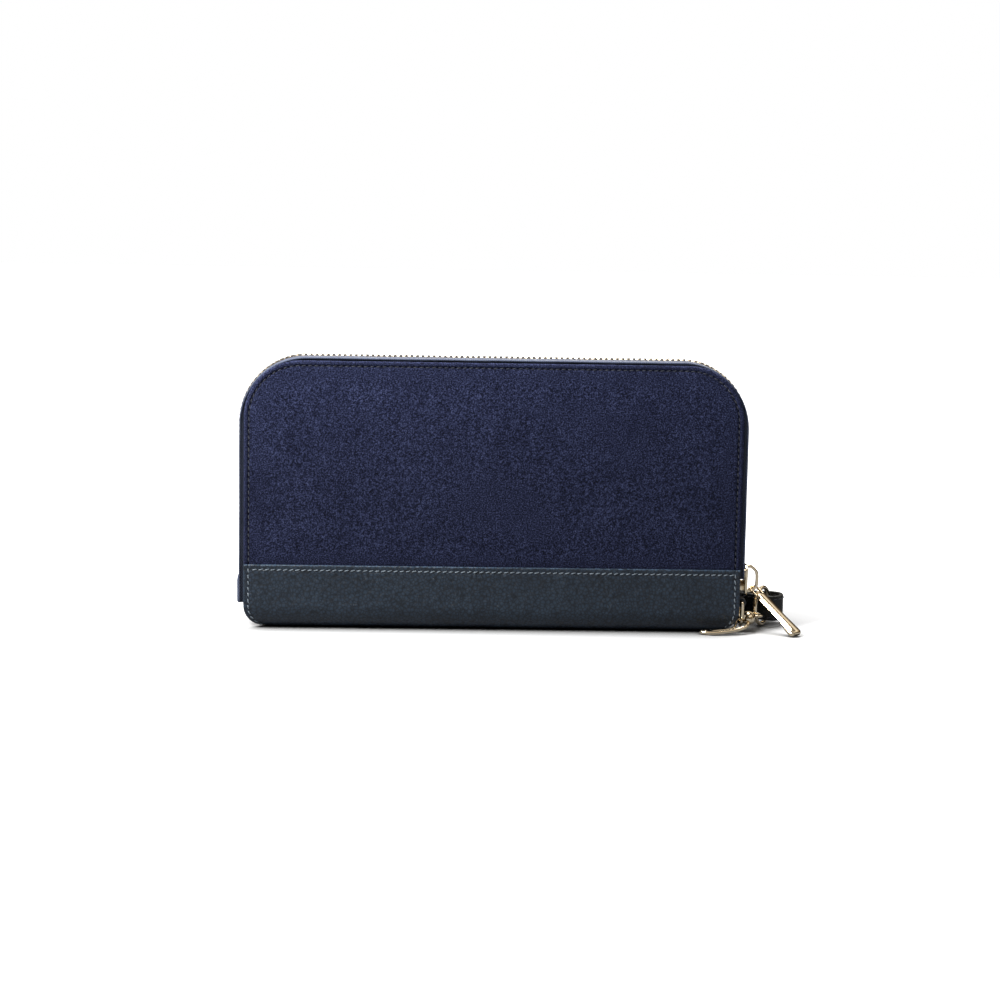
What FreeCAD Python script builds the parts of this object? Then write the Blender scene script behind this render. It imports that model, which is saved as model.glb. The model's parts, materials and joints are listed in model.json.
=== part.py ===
"""Zip around wallet with a wrist strap, standing on its spine.

Frame: millimetres, origin at the middle of the spine's flat underside, +X to the slider's side, +Y to the
rear cover and +Z up. The front cover opens about the line through the middle of the round spine.
"""
import FreeCAD, Part
import math
import os
import Sketcher

os.makedirs("parts", exist_ok=True)
document = FreeCAD.newDocument("zip_around_wallet")
Vector = FreeCAD.Vector

# ---------------------------------------------------------------- driving dimensions

DRIVING = {
    # covers
    "panel_width": 195,
    "panel_top": 105.5,
    "panel_corner": 22,
    "half_depth": 12,
    "suede": 1.2,
    "suede_low": 22,
    "board": 0.8,
    "board_inset": 3,
    "lining": 0.4,
    "lining_inset": 2.5,
    "inside_low": 14,
    "layer_gap": 0.05,
    # leather band and spine
    "band": 0.85,
    "band_top": 25.5,
    "pivot_height": 12,
    "spine_corner": 9.6,
    "spine_wall": 1.0,
    "end_corner": 9,
    # main zip
    "zip_side": 1.7,
    "zip_rise": 0.9,
    "zip_corner": 26,
    "tape": 0.6,
    "tape_inner": 1.9,
    "tape_outer": 10.7,
    "tape_seam": 6,
    "tape_low_right": 21.5,
    "tape_low_left": 10,
    "pitch": 2.18,
    "tooth_length": 0.95,
    "tooth_height": 1.8,
    "tooth_overlap": 0.45,
    "tooth_root": 2.65,
    "teeth_low_right": 27.6,
    "teeth_low_left": 20,
    # slider of the main zip
    "slider_low": 14.6,
    "slider_length": 11.4,
    "slider_half": 4.6,
    "slider_plate": 1.2,
    "slider_channel": 3.4,
    "channel_height": 2.4,
    "slot_height": 1.4,
    "post_width": 1.8,
    "post_length": 4,
    "bridge_reach": 4.6,
    "bridge_rod": 1.1,
    "bridge_half": 0.7,
    # zip pull
    "pull_yaw": -50,
    "pull_pitch": 32.5,
    "pull_length": 29,
    "pull_half": 2.5,
    "pull_start": 4.9,
    "pull_shift": 1.1,
    "pull_rod": 0.5,
    "pull_thick": 1.8,
    # inside pockets
    "card_sheet": 0.38,
    "card_step": 11,
    "card_top": 84,
    "card_half": 88,
    "card_low": 16,
    "card_gap": 1.2,
    "pocket_half": 87,
    "pocket_inner": 2.1,
    "pocket_wall": 0.5,
    "pocket_top": 92,
    "gusset_sheet": 0.5,
    "gusset_outer": 94.6,
    "gusset_fold": 4.4,
    "gusset_top": 92,
    # coin zip
    "coin_pitch": 2.5,
    "coin_half": 80,
    "coin_zip_height": 95.4,
    "coin_tape": 0.5,
    "coin_tape_inner": 1.3,
    "coin_tape_drop": 7.15,
    "coin_stop": 1.6,
    "coin_plate": 0.8,
    "coin_slider_length": 7,
    "coin_slider_start": 1.5,
    "coin_lug": 1.2,
    "coin_pull_width": 3.4,
    "coin_pull_length": 13,
    # wrist strap hardware
    "ring_bar_height": 11.6,
    "ring_bar_y": -4.7,
    "ring_plane": 98.9,
    "ring_mean": 4.9,
    "ring_drop": 4.1,
    "wire": 0.8,
    "tab_width": 5.8,
    "tab_ply": 1.1,
    "bulb_length": 3.4,
    "bulb_width": 2.9,
    "bulb_height": 2.8,
    "gate_wire": 0.5,
    "gate_pin": 0.4,
    "swivel_mean": 2.6,
    "swivel_wire": 0.6,
    "swivel_reach": 7.4,
    "strap_width": 10.2,
    "strap": 1.8,
    "strap_height": 7.4,
    "o_ring_mean": 7.3,
    "o_ring_wire": 0.85,
    "rivet_place": 92,
}

sheet = document.addObject("Spreadsheet::Sheet", "sizes")
for row, (alias, number) in enumerate(DRIVING.items(), start=1):
    sheet.set(f"A{row}", alias)
    sheet.set(f"B{row}", str(number))
    sheet.setAlias(f"B{row}", alias)
document.recompute()


def size(alias):
    """The sheet's value for one driving dimension."""
    return float(sheet.get(alias))


# ---------------------------------------------------------------- helpers

subparts = []
FRONT = -1
REAR = 1
SIDES = {"front": FRONT, "rear": REAR}


def subpart(item, name):
    """Name an object as one of the wallet's sub-parts."""
    item.Label = name
    subparts.append(item)
    return item


def bind(item, **expressions):
    """Bind an object's sizes to expressions over the sheet; x, y and z bind its place."""
    for key, expression in expressions.items():
        target = f"Placement.Base.{key}" if key in ("x", "y", "z") else key
        item.setExpression(target, expression)
    return item


def box(name, length, width, height, x, y, z):
    """A block from its three sizes and its lowest corner, each an expression."""
    item = document.addObject("Part::Box", name)
    return bind(item, Length=length, Width=width, Height=height, x=x, y=y, z=z)


def cylinder(name, radius, height, base, axis):
    """A round bar from base along axis."""
    item = document.addObject("Part::Cylinder", name)
    item.Placement = FreeCAD.Placement(Vector(*base), FreeCAD.Rotation(Vector(0, 0, 1), Vector(*axis)))
    return bind(item, Radius=radius, Height=height)


def cut(name, base, tool):
    item = document.addObject("Part::Cut", name)
    item.Base = base
    item.Tool = tool
    return item


def fuse(name, shapes):
    item = document.addObject("Part::MultiFuse", name)
    item.Shapes = shapes
    return item


def group(name, shapes):
    """Identical pieces kept together as separate solids."""
    item = document.addObject("Part::Compound", name)
    item.Links = shapes
    return item


def feature(name, shape):
    """A piece whose shape no parametric feature gives."""
    item = document.addObject("Part::Feature", name)
    item.Shape = shape
    return item


def layer_low(side, inner, thickness):
    """Lowest y of a layer whose inner face lies inner from the middle."""
    return f"{inner}" if side == REAR else f"-({inner}) - ({thickness})"


# ---------------------------------------------------------------- covers

def rounded_panel(name, side, inner, thickness, inset, low):
    """A sheet with round upper corners, inset from the cover's outline, padded to its thickness."""
    body = document.addObject("PartDesign::Body", name)
    sketch = body.newObject("Sketcher::SketchObject", name + "_outline")
    plane = next(item for item in body.Origin.OriginFeatures if item.Role == "XZ_Plane")
    sketch.AttachmentSupport = [(plane, "")]
    sketch.MapMode = "FlatFace"
    half, top, corner, bottom = 95.0, 105.0, 20.0, 15.0
    line = lambda a, b: Part.LineSegment(Vector(*a, 0), Vector(*b, 0))
    arc = lambda x, start, end: Part.ArcOfCircle(
        Part.Circle(Vector(x, top - corner, 0), Vector(0, 0, 1), corner), start, end)
    left = line((-half, bottom), (-half, top - corner))
    upper_left = arc(corner - half, math.pi / 2, math.pi)
    upper = line((corner - half, top), (half - corner, top))
    upper_right = arc(half - corner, 0, math.pi / 2)
    right = line((half, top - corner), (half, bottom))
    lower = line((half, bottom), (-half, bottom))
    sketch.addGeometry([left, upper_left, upper, upper_right, right, lower], False)
    rules = [
        ("Tangent", 0, 2, 1, 2),
        ("Tangent", 1, 1, 2, 1),
        ("Tangent", 2, 2, 3, 2),
        ("Tangent", 3, 1, 4, 1),
        ("Coincident", 4, 2, 5, 1),
        ("Coincident", 5, 2, 0, 1),
        ("Vertical", 0),
        ("Vertical", 4),
        ("Horizontal", 2),
        ("Equal", 1, 3),
        ("Symmetric", 0, 1, 4, 2, -2),
    ]
    for rule in rules:
        sketch.addConstraint(Sketcher.Constraint(*rule))
    named = {
        "corner": (("Radius", 1, corner), f"sizes.panel_corner - ({inset})"),
        "half": (("DistanceX", -1, 1, 4, 2, half), f"sizes.panel_width / 2 - ({inset})"),
        "bottom": (("DistanceY", -1, 1, 4, 2, bottom), low),
        "top": (("DistanceY", -1, 1, 2, 2, top), f"sizes.panel_top - ({inset})"),
    }
    for label, (rule, expression) in named.items():
        index = sketch.addConstraint(Sketcher.Constraint(*rule))
        sketch.renameConstraint(index, label)
        sketch.setExpression(f"Constraints.{label}", expression)
    pad = body.newObject("PartDesign::Pad", name + "_pad")
    pad.Profile = sketch
    pad.setExpression("Length", thickness)
    # the sketch faces -Y, so the pad grows from the body's place towards -Y
    place = f"{inner} + {thickness}" if side == REAR else f"-({inner})"
    body.setExpression("Placement.Base.y", place)
    return subpart(body, name)


SUEDE_INNER = "(sizes.half_depth - sizes.suede)"
BOARD_INNER = f"({SUEDE_INNER} - sizes.layer_gap - sizes.board)"
SEAM_INNER = f"({BOARD_INNER} - sizes.layer_gap - sizes.tape)"
LINING_INNER = f"({SEAM_INNER} - sizes.layer_gap - sizes.lining)"


def cover(word, side):
    """Outer suede, stiffener board and lining of one cover."""
    rounded_panel(f"{word}_panel", side, SUEDE_INNER, "sizes.suede", "0", "sizes.suede_low")
    rounded_panel(f"{word}_board", side, BOARD_INNER, "sizes.board", "sizes.board_inset", "sizes.inside_low")
    rounded_panel(f"{word}_lining", side, LINING_INNER, "sizes.lining", "sizes.lining_inset", "sizes.inside_low")


def band(word, side):
    """The flat part of the leather band, lapped over the foot of the suede."""
    inner = "(sizes.half_depth + sizes.layer_gap)"
    low = "sizes.pivot_height + 0.2"
    item = box(f"{word}_band_block", "sizes.panel_width", "sizes.band", f"sizes.band_top - ({low})",
               "-sizes.panel_width / 2", layer_low(side, inner, "sizes.band"), low)
    subpart(item, f"{word}_band")


def spine_leather():
    """The leather round the spine: an open U section with rounded lower ends."""
    outer_half = size("half_depth") + size("layer_gap") + size("band")
    width = size("panel_width")
    high = size("pivot_height")

    def solid_u(inset):
        half = outer_half - inset
        corner = size("spine_corner") - inset
        block = Part.makeBox(width, 2 * half, 2 * high, Vector(-width / 2, -half, inset))
        rounded = [edge for edge in block.Edges
                   if abs(edge.CenterOfMass.z - inset) < 1e-6 and abs(edge.CenterOfMass.x) < 1e-6]
        return block.makeFillet(corner, rounded)

    shell = solid_u(0).cut(solid_u(size("spine_wall")))
    shell = shell.cut(Part.makeBox(2 * width, 4 * high, 4 * high, Vector(-width, -2 * high, high)))
    envelope = Part.makeBox(width, 4 * high, 4 * high, Vector(-width / 2, -2 * high, 0))
    ends = [edge for edge in envelope.Edges
            if abs(edge.CenterOfMass.z) < 1e-6 and abs(edge.CenterOfMass.y) < 1e-6]
    shell = shell.common(envelope.makeFillet(size("end_corner"), ends))
    subpart(feature("spine_leather_shell", shell), "spine_leather")


def spine_board():
    """The narrow stiffener strip inside the spine."""
    width = "(sizes.spine_corner * 0.6)"
    item = box("spine_strip", "sizes.panel_width - 2 * sizes.end_corner", width, "sizes.board",
               "-sizes.panel_width / 2 + sizes.end_corner", f"-{width} / 2", "sizes.spine_wall + sizes.layer_gap")
    subpart(item, "spine_board")


# ---------------------------------------------------------------- main zip

ZIP_LINE = "(sizes.panel_width / 2 + sizes.zip_side)"


def arch_outline(half, top, corner, low_left, low_right):
    """A closed face: an upright arch shape with round upper corners, in the plane y = 0."""
    point = lambda x, z: Vector(x, 0, z)
    diagonal = corner * math.sqrt(0.5)
    edges = [
        Part.makeLine(point(-half, low_left), point(-half, top - corner)),
        Part.Arc(point(-half, top - corner), point(corner - half - diagonal, top - corner + diagonal),
                 point(corner - half, top)).toShape(),
        Part.makeLine(point(corner - half, top), point(half - corner, top)),
        Part.Arc(point(half - corner, top), point(half - corner + diagonal, top - corner + diagonal),
                 point(half, top - corner)).toShape(),
        Part.makeLine(point(half, top - corner), point(half, low_right)),
        Part.makeLine(point(half, low_right), point(-half, low_left)),
    ]
    return Part.Face(Part.Wire(edges))


def zip_half_width():
    return size("panel_width") / 2 + size("zip_side")


def zip_top():
    return size("panel_top") + size("zip_rise")


def arch_band(outer, inner, low_y, high_y):
    """A strip bent along the zip's line, from inner to outer of that line and from low_y to high_y."""
    shapes = []
    for offset in (outer, inner):
        face = arch_outline(zip_half_width() + offset, zip_top() + offset, size("zip_corner") + offset,
                            -10, -10)
        face.translate(Vector(0, low_y, 0))
        shapes.append(face.extrude(Vector(0, high_y - low_y, 0)))
    strip = shapes[0].cut(shapes[1])
    long = 2 * size("panel_width")
    for sign, low in ((-1, size("tape_low_left")), (1, size("tape_low_right"))):
        start = -long if sign < 0 else 0
        strip = strip.cut(Part.makeBox(long, 60, 40 + low, Vector(start, -30, -40)))
    return strip


def zip_tape(word, side):
    """One half of the tape: a wall that carries the teeth and a seam allowance inside the cover."""
    thick = size("tape")
    seam_inner = size("half_depth") - size("suede") - size("board") - 2 * size("layer_gap") - thick
    wall = arch_band(thick / 2, -thick / 2, size("tape_inner"), size("tape_outer"))
    seam = arch_band(thick / 2, -size("tape_seam"), seam_inner, seam_inner + thick)
    strip = wall.fuse(seam).removeSplitter()
    if side == FRONT:
        strip = strip.mirror(Vector(0, 0, 0), Vector(0, 1, 0))
    subpart(feature(f"{word}_tape_strip", strip), f"{word}_zip_tape")


def zip_point(distance):
    """Place and heading on the zip's line, measured from the foot of its right straight."""
    half, top, corner = zip_half_width(), zip_top(), size("zip_corner")
    straight = top - corner
    arc = math.pi / 2 * corner
    across = 2 * (half - corner)
    if distance < straight:
        return half, distance, 0
    distance -= straight
    if distance < arc:
        angle = distance / corner
        return half - corner + corner * math.cos(angle), straight + corner * math.sin(angle), math.degrees(angle)
    distance -= arc
    if distance < across:
        return half - corner - distance, top, 90
    distance -= across
    if distance < arc:
        angle = distance / corner
        return corner - half - corner * math.sin(angle), straight + corner * math.cos(angle), \
            90 + math.degrees(angle)
    return -half, straight - (distance - arc), 180


def tooth(root, overlap, height, length):
    """One tooth at the origin: it grips the tape at +Y and meshes past y = 0; it runs along Z."""
    shoulder = -0.2 * overlap
    head = 0.55 * height / 2
    profile = [(height / 2, root), (height / 2, -shoulder), (head, -overlap), (-head, -overlap),
               (-height / 2, -shoulder), (-height / 2, root)]
    corners = [Vector(x, y, -length / 2) for x, y in profile]
    return Part.Face(Part.makePolygon(corners + corners[:1])).extrude(Vector(0, 0, length))


def zip_teeth(word, side):
    """All teeth of one tape: those on the slider's straight, and the rest."""
    pitch = size("pitch")
    shape = tooth(size("tooth_root"), size("tooth_overlap"), size("tooth_height"), size("tooth_length"))
    if side == FRONT:
        shape = shape.mirror(Vector(0, 0, 0), Vector(0, 1, 0))
    straight = zip_top() - size("zip_corner")
    full = 2 * straight + math.pi * size("zip_corner") + 2 * (zip_half_width() - size("zip_corner"))
    distance = size("teeth_low_right") + (pitch / 2 if side == FRONT else 0)
    near, far = [], []
    while distance < full - size("teeth_low_left"):
        x, z, heading = zip_point(distance)
        copy = shape.copy()
        copy.Placement = FreeCAD.Placement(Vector(x, 0, z), FreeCAD.Rotation(Vector(0, 1, 0), -heading))
        (near if distance < straight else far).append(copy)
        distance += pitch
    subpart(feature(f"{word}_teeth_near", Part.makeCompound(near)), f"{word}_teeth_right")
    subpart(feature(f"{word}_teeth_far", Part.makeCompound(far)), f"{word}_teeth_top_left")


def bottom_stop():
    """The staple at the far end of the zip, on the line that the covers turn about."""
    half, wrap = 1.3, 0.35
    item = box("bottom_staple", f"sizes.tooth_height + {2 * wrap}", f"{2 * half}", f"{2 * half}",
               f"-{ZIP_LINE} - sizes.tooth_height / 2 - {wrap}", f"-{half}", f"sizes.pivot_height - {half}")
    subpart(item, "bottom_stop")


# ---------------------------------------------------------------- main slider and pull

def slider():
    """Two plates joined by the wedge post, with lips that leave a slot for each tape."""
    low = "sizes.slider_low"
    long = "sizes.slider_length"
    width = "2 * sizes.slider_half"
    outer = f"{ZIP_LINE} + sizes.channel_height / 2"
    inner = f"{ZIP_LINE} - sizes.channel_height / 2 - sizes.slider_plate"
    lip = "(sizes.channel_height - sizes.slot_height) / 2"
    lip_width = "sizes.slider_half - sizes.slider_channel"
    pieces = [
        box("slider_face", "sizes.slider_plate", width, long, outer, "-sizes.slider_half", low),
        box("slider_back", "sizes.slider_plate", width, long, inner, "-sizes.slider_half", low),
        box("slider_post", "sizes.channel_height", "sizes.post_width", "sizes.post_length",
            f"{ZIP_LINE} - sizes.channel_height / 2", "-sizes.post_width / 2", f"{low} + 1"),
    ]
    for word, side in SIDES.items():
        y = "sizes.slider_channel" if side == REAR else "-sizes.slider_half"
        pieces.append(box(f"lip_outer_{word}", lip, lip_width, long, f"{outer} - {lip}", y, low))
        pieces.append(box(f"lip_inner_{word}", lip, lip_width, long,
                          f"{ZIP_LINE} - sizes.channel_height / 2", y, low))
    subpart(fuse("slider_casting", pieces), "zip_slider")


def slider_bridge():
    """The arched loop on the slider's face that carries the pull."""
    face = f"({ZIP_LINE} + sizes.channel_height / 2 + sizes.slider_plate)"
    reach = "sizes.bridge_reach"
    rod = "sizes.bridge_rod"
    tall = "(sizes.slider_length - 0.4)"
    low = "(sizes.slider_low + 0.2)"
    block = box("bridge_block", reach, "2 * sizes.bridge_half", tall, face, "-sizes.bridge_half", low)
    window = box("bridge_window", f"{reach} - {rod}", "4 * sizes.bridge_half", f"{tall} - 2 * {rod}",
                 face, "-2 * sizes.bridge_half", f"{low} + {rod}")
    arch = cut("bridge_arch", block, window)
    document.recompute()
    far = face_x() + size("bridge_reach")
    rounded = document.addObject("Part::Fillet", "bridge_rounded")
    rounded.Base = arch
    rounded.Edges = [(index, 2.2, 2.2) for index, edge in enumerate(arch.Shape.Edges, start=1)
                     if abs(edge.CenterOfMass.x - far) < 1e-6 and abs(edge.CenterOfMass.y) < 1e-6]
    subpart(rounded, "slider_bridge")


def face_x():
    """The slider's outer face."""
    return zip_half_width() + size("channel_height") / 2 + size("slider_plate")


def pull_placement():
    """The pull hangs from the foot of the bridge's window, leaning outwards and forwards."""
    foot = size("slider_low") + 0.2 + size("bridge_rod")
    pivot = Vector(face_x() + 1.7, 0, foot + 0.8)
    yaw = FreeCAD.Rotation(Vector(0, 0, 1), size("pull_yaw"))
    pitch = FreeCAD.Rotation(Vector(0, 1, 0), size("pull_pitch"))
    return FreeCAD.Placement(pivot, yaw.multiply(pitch))


def zip_pull():
    """A long plate with an eye at its root; it grows wider and thicker towards its tip."""
    start, end = size("pull_start"), size("pull_length")
    half, thick = size("pull_half"), size("pull_thick")
    side = [(start, -thick / 2), (start, thick / 2), (end * 0.62, thick / 2 + 0.1), (end, thick / 2 + 0.2),
            (end, -thick / 2), (end - 4.5, -thick / 2 - 0.9), (end * 0.6, -thick / 2)]
    corners = [Vector(x, -half, z) for x, z in side]
    plate = Part.Face(Part.makePolygon(corners + corners[:1])).extrude(Vector(0, 2 * half, 0))
    front = [(start, half * 0.98), (end * 0.55, half * 0.9), (end - 1.6, half), (end, half * 0.7)]
    outline = [Vector(x, y, -5) for x, y in front] + [Vector(x, -y, -5) for x, y in reversed(front)]
    plate = plate.common(Part.Face(Part.makePolygon(outline + outline[:1])).extrude(Vector(0, 0, 10)))
    rod = size("pull_rod")
    bar_y = half * 0.9
    eye = Part.makeCylinder(rod, 2 * bar_y, Vector(0, -bar_y, 0), Vector(0, 1, 0))
    for sign in (-1, 1):
        eye = eye.fuse(Part.makeCylinder(rod, start + 0.5, Vector(0, sign * bar_y, 0), Vector(1, 0, 0)))
        eye = eye.fuse(Part.makeSphere(rod, Vector(0, sign * bar_y, 0)))
    item = feature("pull_plate", plate.fuse(eye).removeSplitter())
    sideways = FreeCAD.Placement(Vector(0, size("pull_shift"), 0), FreeCAD.Rotation())
    item.Placement = pull_placement().multiply(sideways)
    subpart(item, "zip_pull")


# ---------------------------------------------------------------- inside pockets

CARD_ROWS = 4


def card_panel(word, side):
    """A backing sheet and the stepped rows of card slots, two columns wide."""
    gap = "sizes.layer_gap"
    base_inner = f"({LINING_INNER} - {gap} - sizes.card_sheet)"
    width = "2 * sizes.card_half"
    backing = box(f"{word}_backing", width, "sizes.card_sheet", "sizes.card_top + 6 - sizes.card_low",
                  "-sizes.card_half", layer_low(side, base_inner, "sizes.card_sheet"), "sizes.card_low")
    subpart(backing, f"{word}_card_backing")
    slots = []
    for row in range(CARD_ROWS):
        inner = f"({base_inner} - {row + 1} * (sizes.card_sheet + {gap}))"
        top = f"(sizes.card_top - {row} * sizes.card_step)"
        low = "(sizes.card_low + 0.5)"
        for column in (0, 1):
            x = "-sizes.card_half" if column == 0 else "sizes.card_gap / 2"
            slots.append(box(f"{word}_slot_{row}_{column}", "sizes.card_half - sizes.card_gap / 2",
                             "sizes.card_sheet", f"{top} - {low}", x,
                             layer_low(side, inner, "sizes.card_sheet"), low))
    subpart(group(f"{word}_slots", slots), f"{word}_card_slots")


def coin_pocket():
    """Two walls joined by a floor, with a zip across the mouth."""
    half = "sizes.pocket_half"
    for word, side in SIDES.items():
        wall = box(f"coin_wall_{word}", f"2 * {half}", "sizes.pocket_wall", "sizes.pocket_top - sizes.inside_low",
                   f"-{half}", layer_low(side, "sizes.pocket_inner", "sizes.pocket_wall"), "sizes.inside_low")
        subpart(wall, f"coin_pocket_{word}")
    floor_half = "(sizes.pocket_inner - sizes.layer_gap)"
    floor = box("coin_floor", f"2 * {half}", f"2 * {floor_half}", "sizes.pocket_wall",
                f"-{half}", f"-{floor_half}", "sizes.inside_low")
    subpart(floor, "coin_pocket_floor")


def coin_zip():
    """Tapes, teeth and end stops of the coin pocket's zip."""
    height = size("coin_zip_height")
    half = size("coin_half")
    thick = size("coin_tape")
    inner = size("coin_tape_inner")
    outer = size("pocket_inner") + size("pocket_wall") + 2 * size("layer_gap")
    drop = size("coin_tape_drop")
    overhang = 4
    long = 2 * (half + overhang)
    tapes = []
    for side in (FRONT, REAR):
        flat = Part.makeBox(long, outer + thick - inner, thick, Vector(-long / 2, inner, height - thick / 2))
        fall = Part.makeBox(long, thick, drop, Vector(-long / 2, outer, height + thick / 2 - drop))
        strip = flat.fuse(fall).removeSplitter()
        tapes.append(strip if side == REAR else strip.mirror(Vector(0, 0, 0), Vector(0, 1, 0)))
    subpart(feature("coin_tapes", Part.makeCompound(tapes)), "coin_zip_tapes")
    pitch = size("coin_pitch")
    shape = tooth(root=1.9, overlap=0.4, height=1.5, length=1.05)
    turn = FreeCAD.Rotation(Vector(0, 1, 0), -90)
    parked = 2 * overhang
    count = int(2 * (half - parked) / pitch)
    teeth = []
    for side in (FRONT, REAR):
        start = half - overhang - (pitch / 2 if side == FRONT else 0)
        for index in range(count):
            copy = shape.copy() if side == REAR else shape.mirror(Vector(0, 0, 0), Vector(0, 1, 0))
            copy.Placement = FreeCAD.Placement(Vector(start - index * pitch, 0, height), turn)
            teeth.append(copy)
    subpart(feature("coin_teeth", Part.makeCompound(teeth)), "coin_zip_teeth")
    stop_half = 2.3
    stops = [box(f"coin_stop_{index}", "sizes.coin_stop", f"{2 * stop_half}", "0.75 * sizes.coin_stop",
                 f"{sign} * (sizes.coin_half + 0.75 * sizes.coin_stop) - sizes.coin_stop / 2", f"-{stop_half}",
                 "sizes.coin_zip_height + sizes.coin_tape / 2 + sizes.layer_gap")
             for index, sign in enumerate((-1, 1))]
    subpart(group("coin_stops", stops), "coin_zip_stops")


def coin_slider():
    """A small slider that starts at the left end of the coin zip, and its pull."""
    start = "-sizes.coin_half + sizes.coin_slider_start"
    long = "sizes.coin_slider_length"
    plate = "sizes.coin_plate"
    face_half, back_half, lug_half = 2.8, 1.7, 0.6
    face_low, back_low = 0.9, -1.7
    height = "sizes.coin_zip_height"
    lug_x, lug_long, lug_tall = 3, 2.4, 2.2
    pieces = [
        box("coin_slider_face", long, f"{2 * face_half}", plate, start, f"-{face_half}", f"{height} + {face_low}"),
        box("coin_slider_back", long, f"{2 * back_half}", plate, start, f"-{back_half}", f"{height} + {back_low}"),
        box("coin_slider_post", "sizes.coin_lug + 0.4", "sizes.coin_lug", "2", f"{start} + 0.3", f"-{lug_half}",
            f"{height} - 1"),
        box("coin_slider_lug", f"{lug_long}", "sizes.coin_lug", f"{lug_tall}", f"{start} + {lug_x}",
            f"-{lug_half}", f"{height} + {face_low} + {plate} - 0.1"),
    ]
    document.recompute()
    pivot_x = size("coin_slider_start") - size("coin_half") + lug_x + lug_long / 2
    pivot = Vector(pivot_x, 0, size("coin_zip_height") + face_low + size("coin_plate") + 1.05)
    pin_radius = size("coin_plate") / 2
    hole = cylinder("coin_lug_hole", f"{pin_radius + 0.05}", "4", (pivot.x, -2, pivot.z), (0, 1, 0))
    body = cut("coin_slider_casting", fuse("coin_slider_solid", pieces), hole)
    subpart(body, "coin_slider")
    width, thick = size("coin_pull_width"), size("coin_plate")
    arm, reach = 0.7, 2.2
    pin = Part.makeCylinder(pin_radius, width, Vector(0, -width / 2, 0), Vector(0, 1, 0))
    plate = Part.makeBox(size("coin_pull_length"), width, thick, Vector(reach, -width / 2, -thick / 2))
    for y in (-width / 2, width / 2 - arm):
        plate = plate.fuse(Part.makeBox(reach + 2 * pin_radius, arm, thick, Vector(-pin_radius, y, -thick / 2)))
    plate = plate.cut(Part.makeCylinder(0.9, 3, Vector(size("coin_pull_length") + 0.2, 0, -1.5)))
    item = feature("coin_pull_plate", plate.fuse(pin).removeSplitter())
    item.Placement = FreeCAD.Placement(pivot, FreeCAD.Rotation())
    subpart(item, "coin_pull")


def gusset(word, sign):
    """One accordion side: a sheet folded in a W from the rear lining to the front lining."""
    thick = size("gusset_sheet")
    reach = size("half_depth") - size("suede") - size("board") - size("tape") - size("lining") \
        - 4 * size("layer_gap") - 0.2
    outer = size("gusset_outer")
    inner = outer - size("gusset_fold")
    folds = [(outer, -reach), (inner, -reach / 2), (outer, 0), (inner, reach / 2), (outer, reach)]
    shifted = [(x - thick * 1.4, y) for x, y in reversed(folds)]
    corners = [Vector(sign * x, y, size("inside_low")) for x, y in folds + shifted]
    sheet_face = Part.Face(Part.makePolygon(corners + corners[:1]))
    solid = sheet_face.extrude(Vector(0, 0, size("gusset_top") - size("inside_low")))
    subpart(feature(f"{word}_gusset_sheet", solid), f"{word}_gusset")


# ---------------------------------------------------------------- wrist strap hardware

RING_BAR = Vector(size("ring_plane"), size("ring_bar_y"), size("ring_bar_height"))
CLASP_CENTRE = Vector(102.0, -5.2, 5.2)
CLASP_YAW = 60.0
GATE_PIVOT = Vector(100.4, -5.9, 5.9)
O_RING_HEADING = Vector(-0.5, -math.sqrt(0.75), 0)


def round_wire(points, radius):
    """A round wire through the given points, as a swept solid."""
    curve = Part.BSplineCurve()
    curve.interpolate(points)
    heading = curve.tangent(curve.FirstParameter)[0]
    profile = Part.Wire(Part.makeCircle(radius, curve.value(curve.FirstParameter), heading))
    return Part.Wire(curve.toShape()).makePipeShell([profile], True, True)


def d_ring_tab():
    """A folded leather tab, sewn in at the end of the zip, wrapped round the D-ring's bar."""
    radius, width, ply = size("wire"), size("tab_width"), size("tab_ply")
    bar = RING_BAR
    low_y = bar.y - width / 2
    long, thick, lift = 9.6, 2.8, 0.65
    strap = Part.makeBox(long, width, thick, Vector(bar.x - long, low_y, bar.z - thick / 2 + lift))
    loop = Part.makeCylinder(radius + ply, width, Vector(bar.x, low_y, bar.z), Vector(0, 1, 0))
    hole = Part.makeCylinder(radius + size("layer_gap"), width, Vector(bar.x, low_y, bar.z), Vector(0, 1, 0))
    subpart(feature("tab_leather", strap.fuse(loop).cut(hole).removeSplitter()), "d_ring_tab")


def d_ring():
    """A straight bar along Y and a round bow hanging from it."""
    radius, mean, drop = size("wire"), size("ring_mean"), size("ring_drop")
    bow = Part.makeCylinder(radius, 2 * mean, Vector(0, -mean, 0), Vector(0, 1, 0))
    for sign in (-1, 1):
        bow = bow.fuse(Part.makeCylinder(radius, drop, Vector(0, sign * mean, 0), Vector(0, 0, -1)))
        bow = bow.fuse(Part.makeSphere(radius, Vector(0, sign * mean, 0)))
    reach = mean + 2 * radius
    ring = Part.makeTorus(mean, radius, Vector(0, 0, -drop), Vector(1, 0, 0))
    lower = Part.makeBox(2 * reach, 2 * reach, reach, Vector(-reach, -reach, -drop - reach))
    item = feature("d_ring_wire", bow.fuse(ring.common(lower)).removeSplitter())
    item.Placement = FreeCAD.Placement(RING_BAR, FreeCAD.Rotation())
    subpart(item, "d_ring")


def clasp_axis():
    yaw = math.radians(CLASP_YAW)
    return Vector(math.cos(yaw), math.sin(yaw), 0)


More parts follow.
